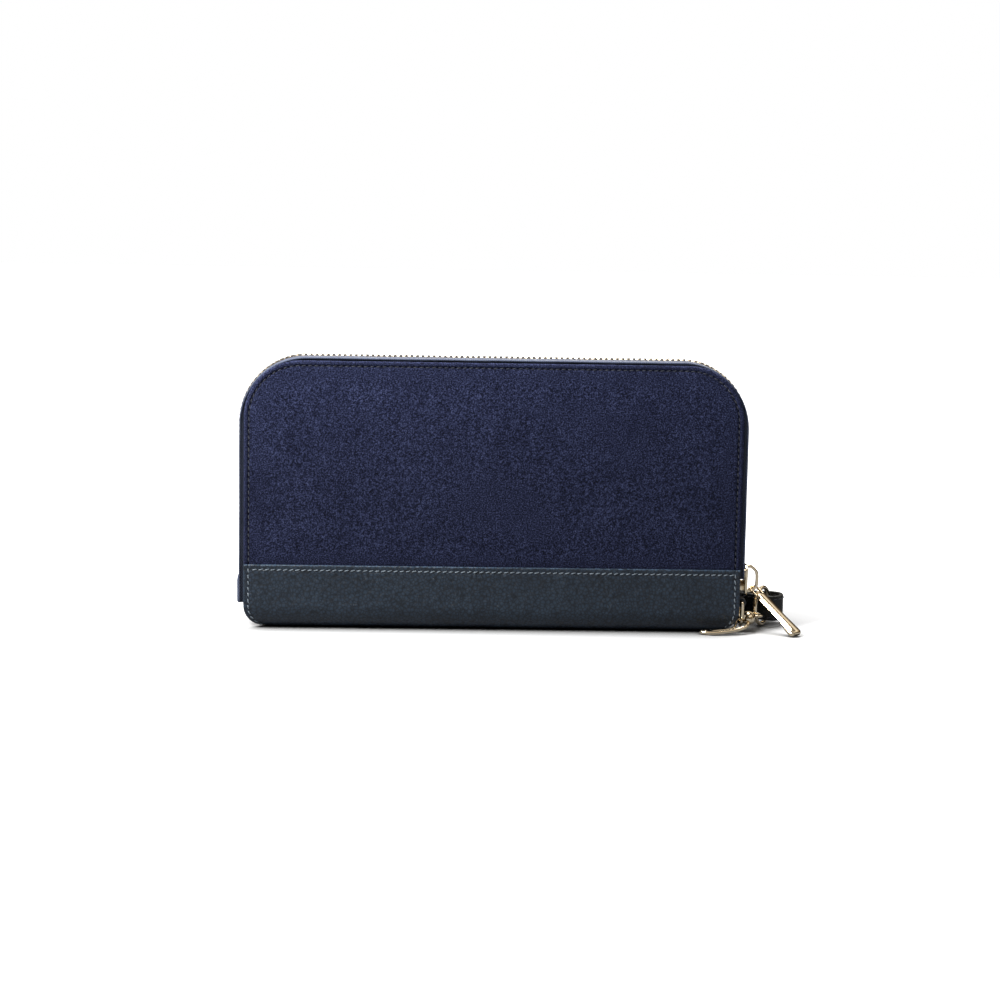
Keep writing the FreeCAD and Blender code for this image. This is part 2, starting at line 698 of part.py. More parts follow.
def clasp():
    """The snap's rounded body with its long hook, the gate, the gate's pin and the leaf spring."""
    body = document.addObject("Part::Ellipsoid", "clasp_bulb")
    bind(body, Radius1="sizes.bulb_height", Radius2="sizes.bulb_length", Radius3="sizes.bulb_width")
    body.Placement = FreeCAD.Placement(CLASP_CENTRE, FreeCAD.Rotation(Vector(0, 0, 1), CLASP_YAW))
    document.recompute()
    axis = clasp_axis()
    neck = Part.makeCylinder(1.35, 3.9, CLASP_CENTRE, axis)
    # the hook leaves the bulb, passes in front of the D-ring's leg and ends in a nose that the gate meets
    hook = round_wire([CLASP_CENTRE + Vector(-0.6, -1.4, -0.9), Vector(101.5, -9.6, 3.5),
                       Vector(99.6, -12.9, 2.8), Vector(96.0, -14.7, 2.0), Vector(91.5, -15.5, 1.4),
                       Vector(86.0, -15.7, 1.0), Vector(82.6, -13.9, 1.0), Vector(84.6, -12.6, 1.0)],
                      size("wire"))
    solid = body.Shape.copy().fuse(neck).fuse(hook)
    eye_radius, eye_tall = 1.1, 1.5
    slot_tall, slot_low = eye_tall + 0.9, -1.45
    slot = Part.makeBox(5.2, 4.4, slot_tall, GATE_PIVOT + Vector(-3.6, -2.5, slot_low))
    pin = Part.makeCylinder(size("gate_pin"), 3, GATE_PIVOT - Vector(0, 0, 2))
    socket = Part.makeCylinder(0.7, 6, CLASP_CENTRE + axis * 1.5, axis)
    for tool in (slot, pin, socket):
        solid = solid.cut(tool)
    subpart(feature("clasp_casting", solid.removeSplitter()), "clasp_body")
    subpart(feature("clasp_pin", pin), "gate_pin")
    eye = Part.makeCylinder(eye_radius, eye_tall, GATE_PIVOT - Vector(0, 0, eye_tall / 2))
    # the gate's arm passes through the D-ring and drops to the nose
    arm = round_wire([GATE_PIVOT + Vector(-0.5, 0, 0), Vector(98.7, -6.6, 5.3), Vector(96.9, -7.9, 4.1),
                      Vector(96.3, -10.1, 2.8), Vector(95.1, -12.0, 2.2), Vector(91.0, -12.6, 1.5),
                      Vector(86.9, -12.5, 1.0)], size("gate_wire"))
    hole = Part.makeCylinder(size("gate_pin") + size("layer_gap"), 4, GATE_PIVOT - Vector(0, 0, 2))
    subpart(feature("clasp_gate", eye.fuse(arm).cut(hole).removeSplitter()), "clasp_gate_arm")
    spring = Part.makeBox(0.25, 2.2, 1.2, GATE_PIVOT + Vector(1.25, -1.2, -0.6))
    subpart(feature("leaf_spring", spring), "gate_spring")


def swivel_eye_centre():
    return CLASP_CENTRE + clasp_axis() * size("swivel_reach")


def swivel():
    """The turning post and its round eye."""
    axis = clasp_axis()
    centre = swivel_eye_centre()
    mean, wire = size("swivel_mean"), size("swivel_wire")
    start = 1.8
    post = Part.makeCylinder(0.65, size("swivel_reach") - mean - start, CLASP_CENTRE + axis * start, axis)
    collar = Part.makeCylinder(1.2, 0.7, CLASP_CENTRE + axis * 4.0, axis)
    eye = Part.makeTorus(mean, wire, centre, Vector(0, 0, 1))
    subpart(feature("swivel_post", post.fuse(collar).fuse(eye).removeSplitter()), "swivel_eye")


def o_ring_centre():
    rise = size("o_ring_mean") + size("o_ring_wire") + size("layer_gap") - swivel_eye_centre().z
    along = math.sqrt(size("o_ring_mean") ** 2 - rise ** 2)
    return swivel_eye_centre() - O_RING_HEADING * along + Vector(0, 0, rise)


def o_ring():
    """The round ring between the snap and the strap, standing on edge."""
    normal = O_RING_HEADING.cross(Vector(0, 0, 1))
    ring = Part.makeTorus(size("o_ring_mean"), size("o_ring_wire"), o_ring_centre(), normal)
    subpart(feature("o_ring_wire_body", ring), "o_ring")


def strap_line():
    """Middle line of the strap, seen from above: round the ring, then flat behind the wallet."""
    ring = o_ring_centre()
    far = ring - O_RING_HEADING * size("o_ring_mean")
    round_ring = [(ring.x, ring.y), (ring.x + 4.2, ring.y - 2.2), (far.x + 4.0, ring.y + 1.3),
                  (far.x + 4.4, far.y + 0.4), (far.x + 0.6, far.y + 3.8)]
    outer_leg = [(104, 17.8), (97, 17.5), (84, 17.6), (50, 19.8), (0, 22.2), (-33, 22.9)]
    far_bend = [(-35.1, 22.0), (-35.9, 20.0), (-35.1, 18.0)]
    inner_leg = [(-33, 17.1), (0, 16.6), (50, 15.4), (84, 14.9), (97, 14.8), (102.0, 13.6), (105.6, 10.0)]
    return round_ring + outer_leg + far_bend + inner_leg


def wrist_strap():
    """A flat leather strap on edge, its two legs riveted together behind the ring."""
    centre = Part.BSplineCurve()
    centre.interpolate([Vector(x, y, 0) for x, y in strap_line()], PeriodicFlag=True)
    span = centre.LastParameter - centre.FirstParameter
    half = size("strap") / 2
    steps = 120
    faces = []
    for offset in (-half, half):
        points = []
        for index in range(steps):
            parameter = centre.FirstParameter + span * index / steps
            heading = centre.tangent(parameter)[0]
            points.append(centre.value(parameter) + Vector(-heading.y, heading.x, 0) * offset)
        rail = Part.BSplineCurve()
        rail.interpolate(points, PeriodicFlag=True)
        faces.append(Part.Face(Part.Wire(rail.toShape())))
    inner, outer = sorted(faces, key=lambda face: face.Area)
    up = Vector(0, 0, size("strap_width"))
    solid = outer.extrude(up).cut(inner.extrude(up))
    height = size("strap_height")
    solid.translate(Vector(0, 0, height - size("strap_width") / 2))
    place, low, high = size("rivet_place"), 13.4, 19.0
    shank, head, head_tall = 0.75, 2.2, 0.4
    bar = lambda radius, y, long: Part.makeCylinder(radius, long, Vector(place, y, height), Vector(0, 1, 0))
    subpart(feature("strap_leather", solid.cut(bar(shank + size("layer_gap"), low, high - low))), "wrist_strap")
    rivet = bar(shank, low, high - low)
    for y in (low, high - head_tall):
        rivet = rivet.fuse(bar(head, y, head_tall))
    subpart(feature("strap_rivet_body", rivet.removeSplitter()), "strap_rivet")


# ---------------------------------------------------------------- build

for word, side in SIDES.items():
    cover(word, side)
    band(word, side)
    zip_tape(word, side)
    zip_teeth(word, side)
    card_panel(word, side)
spine_leather()
spine_board()
bottom_stop()
slider()
slider_bridge()
zip_pull()
coin_pocket()
coin_zip()
coin_slider()
for word, sign in (("left", -1), ("right", 1)):
    gusset(word, sign)
d_ring_tab()
d_ring()
clasp()
swivel()
o_ring()
wrist_strap()
document.recompute()

# ---------------------------------------------------------------- check and write

for item in document.Objects:
    if "Invalid" in item.State or "Error" in item.State:
        raise RuntimeError(f"{item.Label} failed to recompute: {item.State}")
for item in subparts:
    if item.Shape.isNull() or not item.Shape.isValid() or not item.Shape.Solids:
        raise RuntimeError(f"{item.Label} has no valid solid")
for item in subparts:
    item.Shape.exportStep(f"parts/{item.Label}.step")
print(len(subparts), "sub-parts written")
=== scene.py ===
import json
import math
import random

import bmesh
import bpy
from mathutils import Matrix, Vector, noise


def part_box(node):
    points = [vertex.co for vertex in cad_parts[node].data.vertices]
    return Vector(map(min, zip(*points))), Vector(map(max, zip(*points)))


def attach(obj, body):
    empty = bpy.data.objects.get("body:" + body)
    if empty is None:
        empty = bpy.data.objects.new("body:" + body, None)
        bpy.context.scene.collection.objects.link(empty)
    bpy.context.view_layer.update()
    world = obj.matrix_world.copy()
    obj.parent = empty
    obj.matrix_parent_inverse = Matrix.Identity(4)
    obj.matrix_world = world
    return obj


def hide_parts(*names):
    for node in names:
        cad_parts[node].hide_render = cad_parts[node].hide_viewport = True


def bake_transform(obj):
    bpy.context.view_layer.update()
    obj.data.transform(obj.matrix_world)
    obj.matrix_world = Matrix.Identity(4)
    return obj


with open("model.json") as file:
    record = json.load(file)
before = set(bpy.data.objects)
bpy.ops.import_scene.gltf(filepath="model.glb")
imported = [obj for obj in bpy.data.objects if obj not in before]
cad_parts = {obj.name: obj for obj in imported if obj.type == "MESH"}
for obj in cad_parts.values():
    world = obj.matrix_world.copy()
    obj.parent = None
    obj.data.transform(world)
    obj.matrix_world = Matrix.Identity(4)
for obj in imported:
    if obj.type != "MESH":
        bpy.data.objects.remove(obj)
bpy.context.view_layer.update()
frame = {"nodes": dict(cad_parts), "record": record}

# Zip around wallet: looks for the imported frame. Lengths below are millimetres; MM turns them into metres.
MM = 0.001
FRONT = -1
REAR = 1
SIDES = {"front": FRONT, "rear": REAR}
ENDS = {"left": -1, "right": 1}
random.seed(7)


# ---- places read from the frame

def node_box(node):
    """A node's lowest and highest corners in millimetres."""
    low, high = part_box(node)
    return Vector(low) / MM, Vector(high) / MM


def joint(name):
    """A joint's place in millimetres and its axis."""
    entry = next(item for item in frame["record"]["behaviour"]["joints"] if item["name"] == name)
    return Vector(entry["pos_m"]) / MM, Vector(entry["axis"]).normalized()


PANEL_LOW, PANEL_HIGH = node_box("rear_panel")
HALF_WIDTH = PANEL_HIGH.x
TOP = PANEL_HIGH.z
HALF_DEPTH = PANEL_HIGH.y
SUEDE_FOOT = PANEL_LOW.z
SUEDE_THICK = 1.15
CORNER = 22.0  # radius of the covers' upper corners
BAND_LOW, BAND_HIGH = node_box("rear_band")
BAND_TOP = BAND_HIGH.z
BAND_OUT = BAND_HIGH.y
BAND_IN = BAND_LOW.y
SPINE_CORNER = 9.6  # radius of the fold from a cover into the spine
END_CORNER = 9.0  # radius of the band's lower corners, seen from the front
TAPE_LOW, TAPE_HIGH = node_box("rear_zip_tape")
ZIP_CORNER = 26.0  # radius of the zip's bends
TAPE_THICK = 0.6
ZIP_HALF = TAPE_HIGH.x - TAPE_THICK / 2
ZIP_TOP = TAPE_HIGH.z - TAPE_THICK / 2
TAPE_RIGHT_FOOT = 21.5  # the tapes stop above the closed zip's slider
EDGE_TO_STITCH = 2.0
STITCH_PITCH = 2.4
UPWARD = Vector((0, 0, 1))


# ---- mesh helpers

def store_smooth(work, data):
    """Write an edited mesh back with every face shaded smooth."""
    for face in work.faces:
        face.smooth = True
    work.to_mesh(data)
    work.free()


def mesh_object(name, points, faces):
    """A linked mesh object from points in millimetres, with its faces turned outwards."""
    data = bpy.data.meshes.new(name)
    data.from_pydata([Vector(point) * MM for point in points], [], faces)
    work = bmesh.new()
    work.from_mesh(data)
    bmesh.ops.remove_doubles(work, verts=work.verts, dist=1e-7)
    bmesh.ops.recalc_face_normals(work, faces=work.faces)
    store_smooth(work, data)
    item = bpy.data.objects.new(name, data)
    bpy.context.scene.collection.objects.link(item)
    return item


def grid_faces(start, columns, rows):
    """Quads of a grid of points whose first point has the number start."""
    return [(a, a + 1, a + columns + 1, a + columns) for row in range(rows - 1)
            for a in range(start + row * columns, start + (row + 1) * columns - 1)]


def rim_faces(line, shift):
    """Quads from a line of points on one face of a sheet to the same line on the other."""
    return [(a, b, b + shift, a + shift) for a, b in zip(line, line[1:])]


def tube_faces(start, count, rings, closed=False):
    """Quads round rings of points, joined into a loop or with both ends capped."""
    faces = []
    for ring in range(rings if closed else rings - 1):
        here = start + ring * count
        after = start + (ring + 1) % rings * count
        for i in range(count):
            right = (i + 1) % count
            faces.append((here + i, here + right, after + right, after + i))
    if not closed:
        last = start + (rings - 1) * count
        faces += [tuple(range(start, start + count)), tuple(range(last, last + count))]
    return faces


def tube(name, rows, closed=False):
    """A mesh through rings of points."""
    points = [point for row in rows for point in row]
    return mesh_object(name, points, tube_faces(0, len(rows[0]), len(rows), closed))


def two_faced(name, outer_rows, inner_rows):
    """A closed sheet between two grids of points of the same size."""
    count = len(outer_rows[0])
    shift = len(outer_rows) * count
    faces = grid_faces(0, count, len(outer_rows)) + grid_faces(shift, count, len(outer_rows))
    for line in (range(count), range(shift - count, shift),
                 range(0, shift, count), range(count - 1, shift, count)):
        faces += rim_faces(line, shift)
    return mesh_object(name, [point for row in outer_rows + inner_rows for point in row], faces)


def sweep(name, path, section, closed=False, up=UPWARD):
    """A tube along path; its section is a list of (across, upward) pairs."""
    rows = []
    count = len(path)
    for index, point in enumerate(path):
        before = path[(index - 1) % count] if closed or index else point
        after = path[(index + 1) % count] if closed or index < count - 1 else point
        along = (Vector(after) - Vector(before)).normalized()
        across = along.cross(up).normalized()
        upward = across.cross(along)
        rows.append([Vector(point) + across * a + upward * b for a, b in section])
    return tube(name, rows, closed)


def circle(radius, sides):
    """A round section."""
    step = 2 * math.pi / sides
    return [(radius * math.cos(step * index), radius * math.sin(step * index)) for index in range(sides)]


def rounded_box(half_a, half_b, radius, steps):
    """A rectangular section with round corners."""
    pairs = []
    for quarter, (sign_a, sign_b) in enumerate(((1, 1), (-1, 1), (-1, -1), (1, -1))):
        for index in range(steps + 1):
            angle = math.pi / 2 * (quarter + index / steps)
            pairs.append((sign_a * (half_a - radius) + radius * math.cos(angle),
                          sign_b * (half_b - radius) + radius * math.sin(angle)))
    return pairs


def catmull(points, steps, closed=False):
    """A smooth path through points."""
    points = [Vector(point) for point in points]
    count = len(points)
    path = []
    for index in range(count if closed else count - 1):
        a = points[(index - 1) % count] if closed or index else points[0]
        b = points[index]
        c = points[(index + 1) % count]
        d = points[(index + 2) % count] if closed or index < count - 2 else points[-1]
        for step in range(steps):
            share = step / steps
            path.append(0.5 * (2 * b + (c - a) * share + (2 * a - 5 * b + 4 * c - d) * share ** 2
                               + (3 * b - a - 3 * c + d) * share ** 3))
    if not closed:
        path.append(points[-1])
    return path


def plate(name, outline, low, high, rounding):
    """A plate with rounded edges: an outline of (y, z) pairs, from low to high along x."""
    item = tube(name, [[(x, y, z) for y, z in outline] for x in (low, high)])
    work = bmesh.new()
    work.from_mesh(item.data)
    bmesh.ops.bevel(work, geom=work.edges[:], offset=rounding * MM, segments=3, profile=0.5,
                    affect="EDGES", clamp_overlap=True)
    store_smooth(work, item.data)
    return item


def shade(item, rule):
    """Store rule(point in millimetres), a factor of painted light and shade, on every vertex; materials
    multiply their colour by it.
    """
    layer = item.data.attributes.new("shade", "FLOAT", "POINT")
    for vertex in item.data.vertices:
        layer.data[vertex.index].value = rule(vertex.co / MM)


def smooth_step(value, low, high):
    share = min(max((value - low) / (high - low), 0.0), 1.0)
    return share * share * (3 - 2 * share)


def bell(distance, width):
    """A smooth bump that is 1 where distance is 0 and dies away over about twice the width."""
    return math.exp(-(distance / width) ** 2)


def rounded_edge(depth, radius):
    """How far a rounded edge drops at a depth in from it."""
    return radius * (1 - math.sqrt(max(0.0, 1 - (1 - depth / radius) ** 2))) if depth < radius else 0.0


def arch(inset, low, steps, half=HALF_WIDTH, top=TOP, corner=CORNER):
    """The arch-shaped outline from its left foot over the top to its right foot, as (x, z) pairs.

    The steps are those up one side, round one corner and along the top.
    """
    side_steps, arc_steps, top_steps = steps
    half, top, corner = half - inset, top - inset, max(corner - inset, 0.0)
    spring = top - corner
    line = [(-half, low + (spring - low) * i / side_steps) for i in range(side_steps)]
    line += [(corner - half - corner * math.cos(math.pi / 2 * i / arc_steps),
              spring + corner * math.sin(math.pi / 2 * i / arc_steps)) for i in range(arc_steps)]
    line += [(corner - half + 2 * (half - corner) * i / top_steps, top) for i in range(top_steps + 1)]
    return line + [(-x, z) for x, z in reversed(line[:side_steps + arc_steps])]


def depth_inside(x, z):
    """Distance from a point on a cover to the cover's outline."""
    over = abs(x) - (HALF_WIDTH - CORNER)
    above = z - (TOP - CORNER)
    if over > 0 and above > 0:
        return CORNER - math.hypot(over, above)
    return min(HALF_WIDTH - abs(x), TOP - z)


# ---- material helpers

def grey(value):
    return (value,) * 3


def set_inputs(node, values):
    """Set a node's inputs by name, with _ for each space."""
    for key, value in values.items():
        node.inputs[key.replace("_", " ")].default_value = value


def set_stops(ramp_node, stops):
    """Give a colour ramp its (position, colour) stops."""
    elements = ramp_node.color_ramp.elements
    for index, (position, colour) in enumerate(stops):
        element = elements[index] if index < 2 else elements.new(position)
        element.position = position
        element.color = (*colour, 1)


class Look:
    """A node material in construction, with object coordinates scaled to millimetres."""

    def __init__(self, name, base, roughness, metallic=0.0):
        self.material = bpy.data.materials.new(name)
        self.material.use_nodes = True
        self.tree = self.material.node_tree
        self.shader = self.tree.nodes["Principled BSDF"]
        self.set(Base_Color=(*base, 1), Roughness=roughness, Metallic=metallic)
        self.mapping = self.node("ShaderNodeMapping", Scale=grey(1 / MM))
        self.link(self.node("ShaderNodeTexCoord").outputs["Object"], self.mapping.inputs["Vector"])
        self.place = self.mapping.outputs["Vector"]
        self.height = None

    def node(self, kind, **values):
        node = self.tree.nodes.new(kind)
        set_inputs(node, values)
        return node

    def link(self, source, target):
        self.tree.links.new(source, target)

    def feed(self, value, socket):
        """Link another node's output into a socket, or set the socket to a plain value."""
        if isinstance(value, bpy.types.NodeSocket):
            self.link(value, socket)
        else:
            socket.default_value = value

    def set(self, **values):
        set_inputs(self.shader, values)

    def warped(self, scale, amount):
        """Coordinates pushed about by noise, for patterns that must not look ruled."""
        moved = self.node("ShaderNodeVectorMath")
        moved.operation = "MULTIPLY_ADD"
        self.feed(self.noise(scale, 2, output="Color"), moved.inputs[0])
        self.feed(grey(amount), moved.inputs[1])
        self.feed(self.place, moved.inputs[2])
        return moved.outputs["Vector"]

    def mapped(self, **values):
        """Coordinates turned or scaled, for patterns that run one way."""
        node = self.node("ShaderNodeMapping", **values)
        self.link(self.place, node.inputs["Vector"])
        return node.outputs["Vector"]

    def noise(self, scale, detail=3, rough=0.55, source=None, output="Fac"):
        node = self.node("ShaderNodeTexNoise", Scale=scale, Detail=detail, Roughness=rough)
        self.link(source or self.place, node.inputs["Vector"])
        return node.outputs[output]

    def voronoi(self, scale, feature, source):
        node = self.node("ShaderNodeTexVoronoi", Scale=scale)
        node.feature = feature
        self.link(source, node.inputs["Vector"])
        return node.outputs["Distance"]

    def wave(self, scale, turn, distortion):
        node = self.node("ShaderNodeTexWave", Scale=scale, Distortion=distortion)
        self.link(self.mapped(Rotation=turn), node.inputs["Vector"])
        return node.outputs["Fac"]

    def ramp(self, source, stops):
        node = self.node("ShaderNodeValToRGB")
        set_stops(node, stops)
        self.link(source, node.inputs["Fac"])
        return node.outputs["Color"]

    def mix(self, share, first, second, blend="MIX"):
        node = self.node("ShaderNodeMix")
        node.data_type = "RGBA"
        node.blend_type = blend
        # a colour mix keeps its share, first and second colours in sockets 0, 6 and 7
        self.feed(share, node.inputs[0])
        self.feed(first, node.inputs[6])
        self.feed(second, node.inputs[7])
        return node.outputs[2]

    def math(self, operation, first, second):
        node = self.node("ShaderNodeMath")
        node.operation = operation
        self.feed(first, node.inputs[0])
        self.feed(second, node.inputs[1])
        return node.outputs[0]

    def bump(self, source, strength, distance):
        """Adds one layer of relief on top of the layers already there."""
        node = self.node("ShaderNodeBump", Strength=strength, Distance=distance * MM)
        self.link(source, node.inputs["Height"])
        if self.height is not None:
            self.link(self.height, node.inputs["Normal"])
        self.height = node.outputs["Normal"]
        self.link(self.height, self.shader.inputs["Normal"])

    def colour(self, source, shaded=False):
        if shaded:
            # multiply in the painted light and shade stored on the vertices
            stored = self.node("ShaderNodeAttribute")
            stored.attribute_name = "shade"
            source = self.mix(1.0, source, stored.outputs["Color"], "MULTIPLY")
        self.link(source, self.shader.inputs["Base Color"])

    def rough(self, source):
        self.link(source, self.shader.inputs["Roughness"])


# ---- materials

def suede_look():
    """Navy suede: a brushed nap in soft patches with fine pale fibre tips."""
    look = Look("suede_navy", (0.012, 0.015, 0.033), 0.95)
    patches = look.noise(0.05, 5, 0.6, look.warped(0.03, 14.0))
    nap = look.ramp(patches, [(0.3, (0.0085, 0.0108, 0.0280)), (0.7, (0.0160, 0.0200, 0.0475))])
    brushed = look.noise(0.3, 4, 0.7, look.mapped(Scale=(1.0, 1.0, 0.4)))
    streaks = look.ramp(brushed, [(0.3, (0.0065, 0.0085, 0.0225)), (0.75, (0.0185, 0.0230, 0.0530))])
    fibres = look.noise(1.9, 3, 0.75)
    tips = look.ramp(fibres, [(0.36, (0.04, 0.04, 0.06)), (0.5, (0.78, 0.78, 0.82)), (0.66, (3.9, 3.7, 3.3))])
    look.colour(look.mix(1.0, look.mix(0.4, nap, streaks), tips, "MULTIPLY"), shaded=True)
    look.set(Sheen_Weight=0.10, Sheen_Roughness=0.5, Sheen_Tint=(0.45, 0.5, 0.8, 1), Specular_IOR_Level=0.08)
    look.bump(brushed, 0.35, 0.35)
    look.bump(fibres, 0.8, 0.22)
    return look.material


def leather_look(name, dark, light, rough_low, rough_high, cell=0.75, relief=0.8, shaded=False):
    """Pebbled leather: rounded grain cells with a painted highlight on their tops and painted shade in the
    fine creases between them, with scuffs of duller finish.
    """
    look = Look(name, light, 0.5)
    bent = look.warped(0.45, 1.1)
    grain = look.voronoi(cell, "SMOOTH_F1", bent)
    creases = look.voronoi(cell, "DISTANCE_TO_EDGE", bent)
    # painted shade in the creases; the same mask also gives their relief
    crease_shade_and_depth = look.ramp(creases, [(0.0, grey(0.25)), (0.16, grey(1))])
    body = look.ramp(look.noise(0.07, 4, 0.6), [(0.35, dark), (0.68, light)])
    # painted highlight on the tops of the grain cells
    painted_top_highlight = look.ramp(grain, [(0.15, grey(1.15)), (0.6, grey(0.8))])
    body_with_painted_highlight = look.mix(1.0, body, painted_top_highlight, "MULTIPLY")
    look.colour(look.mix(1.0, body_with_painted_highlight, crease_shade_and_depth, "MULTIPLY"), shaded)
    scuffs = look.noise(0.9, 4, 0.7)
    look.rough(look.ramp(scuffs, [(0.35, grey(rough_low)), (0.7, grey(rough_high))]))
    wrinkles = look.noise(0.50, 3, 0.55, look.warped(0.1, 3.0))
    look.bump(wrinkles, 0.55, 1.0)
    look.bump(crease_shade_and_depth, relief * 0.6, 0.12)
    look.bump(grain, -relief, 0.55)
    look.set(Specular_IOR_Level=0.45)
    return look.material


def weave_look(name, dark, light, pitch, tilt_degrees):
    """Woven cloth: two crossed sets of yarns, tilted to either side."""
    look = Look(name, light, 0.85)
    scale = 1.0 / pitch * 0.32
    tilt = math.radians(tilt_degrees)
    rising = look.wave(scale, (tilt, tilt, 0), 0.25)
    falling = look.wave(scale, (-tilt, -tilt, 0), 0.25)
    yarns = look.math("MAXIMUM", rising, look.math("MULTIPLY", falling, 0.75))
    body = look.ramp(yarns, [(0.2, dark), (0.9, light)])
    dye = look.math("MULTIPLY", look.noise(0.12, 3), 0.35)
    look.colour(look.mix(dye, body, (*(value * 0.6 for value in light), 1)))
    look.bump(yarns, 0.6, pitch * 0.3)
    look.bump(look.noise(4.0, 2), 0.25, 0.06)
    look.set(Sheen_Weight=0.25, Sheen_Roughness=0.5)
    return look.material


def metal_look(name, colour, rough_low=0.07, rough_high=0.2):
    """Polished plating with faint handling marks."""
    look = Look(name, colour, rough_low, 1.0)
    marks = look.noise(0.8, 5, 0.7)
    look.rough(look.ramp(marks, [(0.4, grey(rough_low)), (0.8, grey(rough_high))]))
    warm = tuple(value * shift for value, shift in zip(colour, (0.86, 0.78, 0.66)))
    patches = look.math("MULTIPLY", look.noise(0.25, 2), 0.5)
    look.colour(look.mix(patches, (*colour, 1), (*warm, 1)))
    look.bump(look.noise(1.6, 3), 0.04, 0.08)
    return look.material


def thread_look(name, dark, light):
    """Twisted sewing thread."""
    look = Look(name, light, 0.6)
    ply = look.wave(1.6, (0.5, 0.6, 0.4), 0.6)
    look.colour(look.ramp(ply, [(0.15, dark), (0.8, light)]))
    look.bump(ply, 0.5, 0.06)
    look.set(Sheen_Weight=0.3)
    return look.material


def board_look():
    """Pressed grey board with a fibrous, slightly uneven pulp."""
    look = Look("grey_board", (0.4, 0.37, 0.32), 0.9)
    pulp = look.noise(1.2, 5, 0.7)
    look.colour(look.ramp(pulp, [(0.3, (0.3, 0.27, 0.23)), (0.7, (0.5, 0.46, 0.4))]))
    look.bump(pulp, 0.4, 0.1)
    return look.material


SUEDE = suede_look()
BAND_COLOURS = (0.0115, 0.0205, 0.0340), (0.0180, 0.0305, 0.0480)
# the band's colour takes the painted light and shade stored on its vertices
LEATHER = leather_look("leather_band", *BAND_COLOURS, 0.34, 0.52, shaded=True)
TAB_LEATHER = leather_look("leather_tab", *BAND_COLOURS, 0.34, 0.52)
INNER_LEATHER = leather_look("leather_inside", (0.016, 0.023, 0.038), (0.028, 0.038, 0.062), 0.42, 0.62,
                             cell=1.5, relief=0.4)
STRAP_LEATHER = leather_look("leather_strap", (0.0035, 0.006, 0.0065), (0.008, 0.012, 0.0125), 0.42, 0.6,
                             cell=2.2, relief=0.3)
LINING = weave_look("lining_twill", (0.018, 0.024, 0.05), (0.05, 0.062, 0.115), 0.45, tilt_degrees=45)
TAPE = weave_look("zip_tape_weave", (0.024, 0.033, 0.064), (0.090, 0.112, 0.185), 0.6, tilt_degrees=38)
GOLD = metal_look("plated_gold", (0.86, 0.74, 0.54))
TEETH = metal_look("plated_teeth", (0.70, 0.62, 0.48), 0.16, 0.34)
PALE_THREAD = thread_look("thread_grey_blue", (0.075, 0.10, 0.125), (0.24, 0.285, 0.33))
NAVY_THREAD = thread_look("thread_navy", (0.006, 0.008, 0.018), (0.034, 0.040, 0.064))
BOARD = board_look()


def finish(item, body, look, slot, *replaced):
    """Give a piece its material and its body, and hide the nodes that it stands for; the slot argument is not
    used.
    """
    item.data.materials.clear()
    item.data.materials.append(look)
    if body:
        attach(item, body)
    if replaced:
        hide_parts(*replaced)
    return item


# ---- covers

def arch_sheet(name, side, inner, outer, inset, low, profile):
    """A closed sheet with round upper corners; profile(depth, x, z) lifts its outer face.

    Arch-shaped loops run in from the edge, close together where it turns and is stitched, to a plain grid.
    """
    steps = (36, 18, 72)
    side_steps, arc_steps, top_steps = steps
    reach = CORNER - inset
    depths = [0, 0.12, 0.3, 0.55, 0.9, 1.3, 1.6, 1.85, 2.0, 2.15, 2.4, 2.8, 3.6, 5, 8, 12, 16]
    depths = [depth for depth in depths if depth < reach - 1] + [reach]
    loops = [arch(inset + depth, low, steps) for depth in depths]
    count = len(loops[0])
    back_edge = 0.3  # the back face's edge is eased over this width
    back_drop = 0.35
    points, faces = [], []

    def skin(outward):
        start = len(points)
        for loop, depth in zip(loops, depths):
            for x, z in loop:
                rise = profile(depth, x, z) if outward else -back_drop * max(0.0, 1 - depth / back_edge)
                points.append((x, side * (outer + rise if outward else inner - rise), z))
        faces.extend(grid_faces(start, count, len(loops)))
        last = loops[-1]
        base = len(points)
        columns = [x for x, _ in last[side_steps + arc_steps:side_steps + arc_steps + top_steps + 1]]
        heights = [z for _, z in last[:side_steps]] + [last[side_steps + arc_steps][1]]
        for z in heights:
            for x in columns:
                depth = min(HALF_WIDTH - inset - abs(x), TOP - inset - z)
                rise = profile(depth, x, z) if outward else 0.0
                points.append((x, side * (outer + rise if outward else inner), z))
        faces.extend(grid_faces(base, len(columns), len(heights)))
        return base, len(columns)

    base, width = skin(True)
    shift = len(points)
    skin(False)
    rim = range(count)
    left_foot = range(0, base, count)
    right_foot = range(count - 1, base, count)
    middle_foot = range(base, base + width)
    for line in (rim, left_foot, right_foot, middle_foot):
        faces += rim_faces(line, shift)
    return mesh_object(name, points, faces)


def suede_profile(depth, x, z):
    """Turned edge, stitched groove, then a softly crowned middle with a slight waviness."""
    lift = -rounded_edge(depth, 0.7)
    lift -= 0.5 * bell(depth - EDGE_TO_STITCH, 0.3)
    lift += 0.14 * bell(depth - EDGE_TO_STITCH / 2, 0.5)
    inside = smooth_step(depth, EDGE_TO_STITCH, 14) * smooth_step(z, BAND_TOP - 4, BAND_TOP + 14)
    lift += 0.45 * inside
    lift += 0.30 * inside * noise.noise(Vector((x, z, 3)) / 34)
    return lift + 0.05 * noise.noise(Vector((x, z, 9)) / 6) * smooth_step(depth, 0.2, 3)


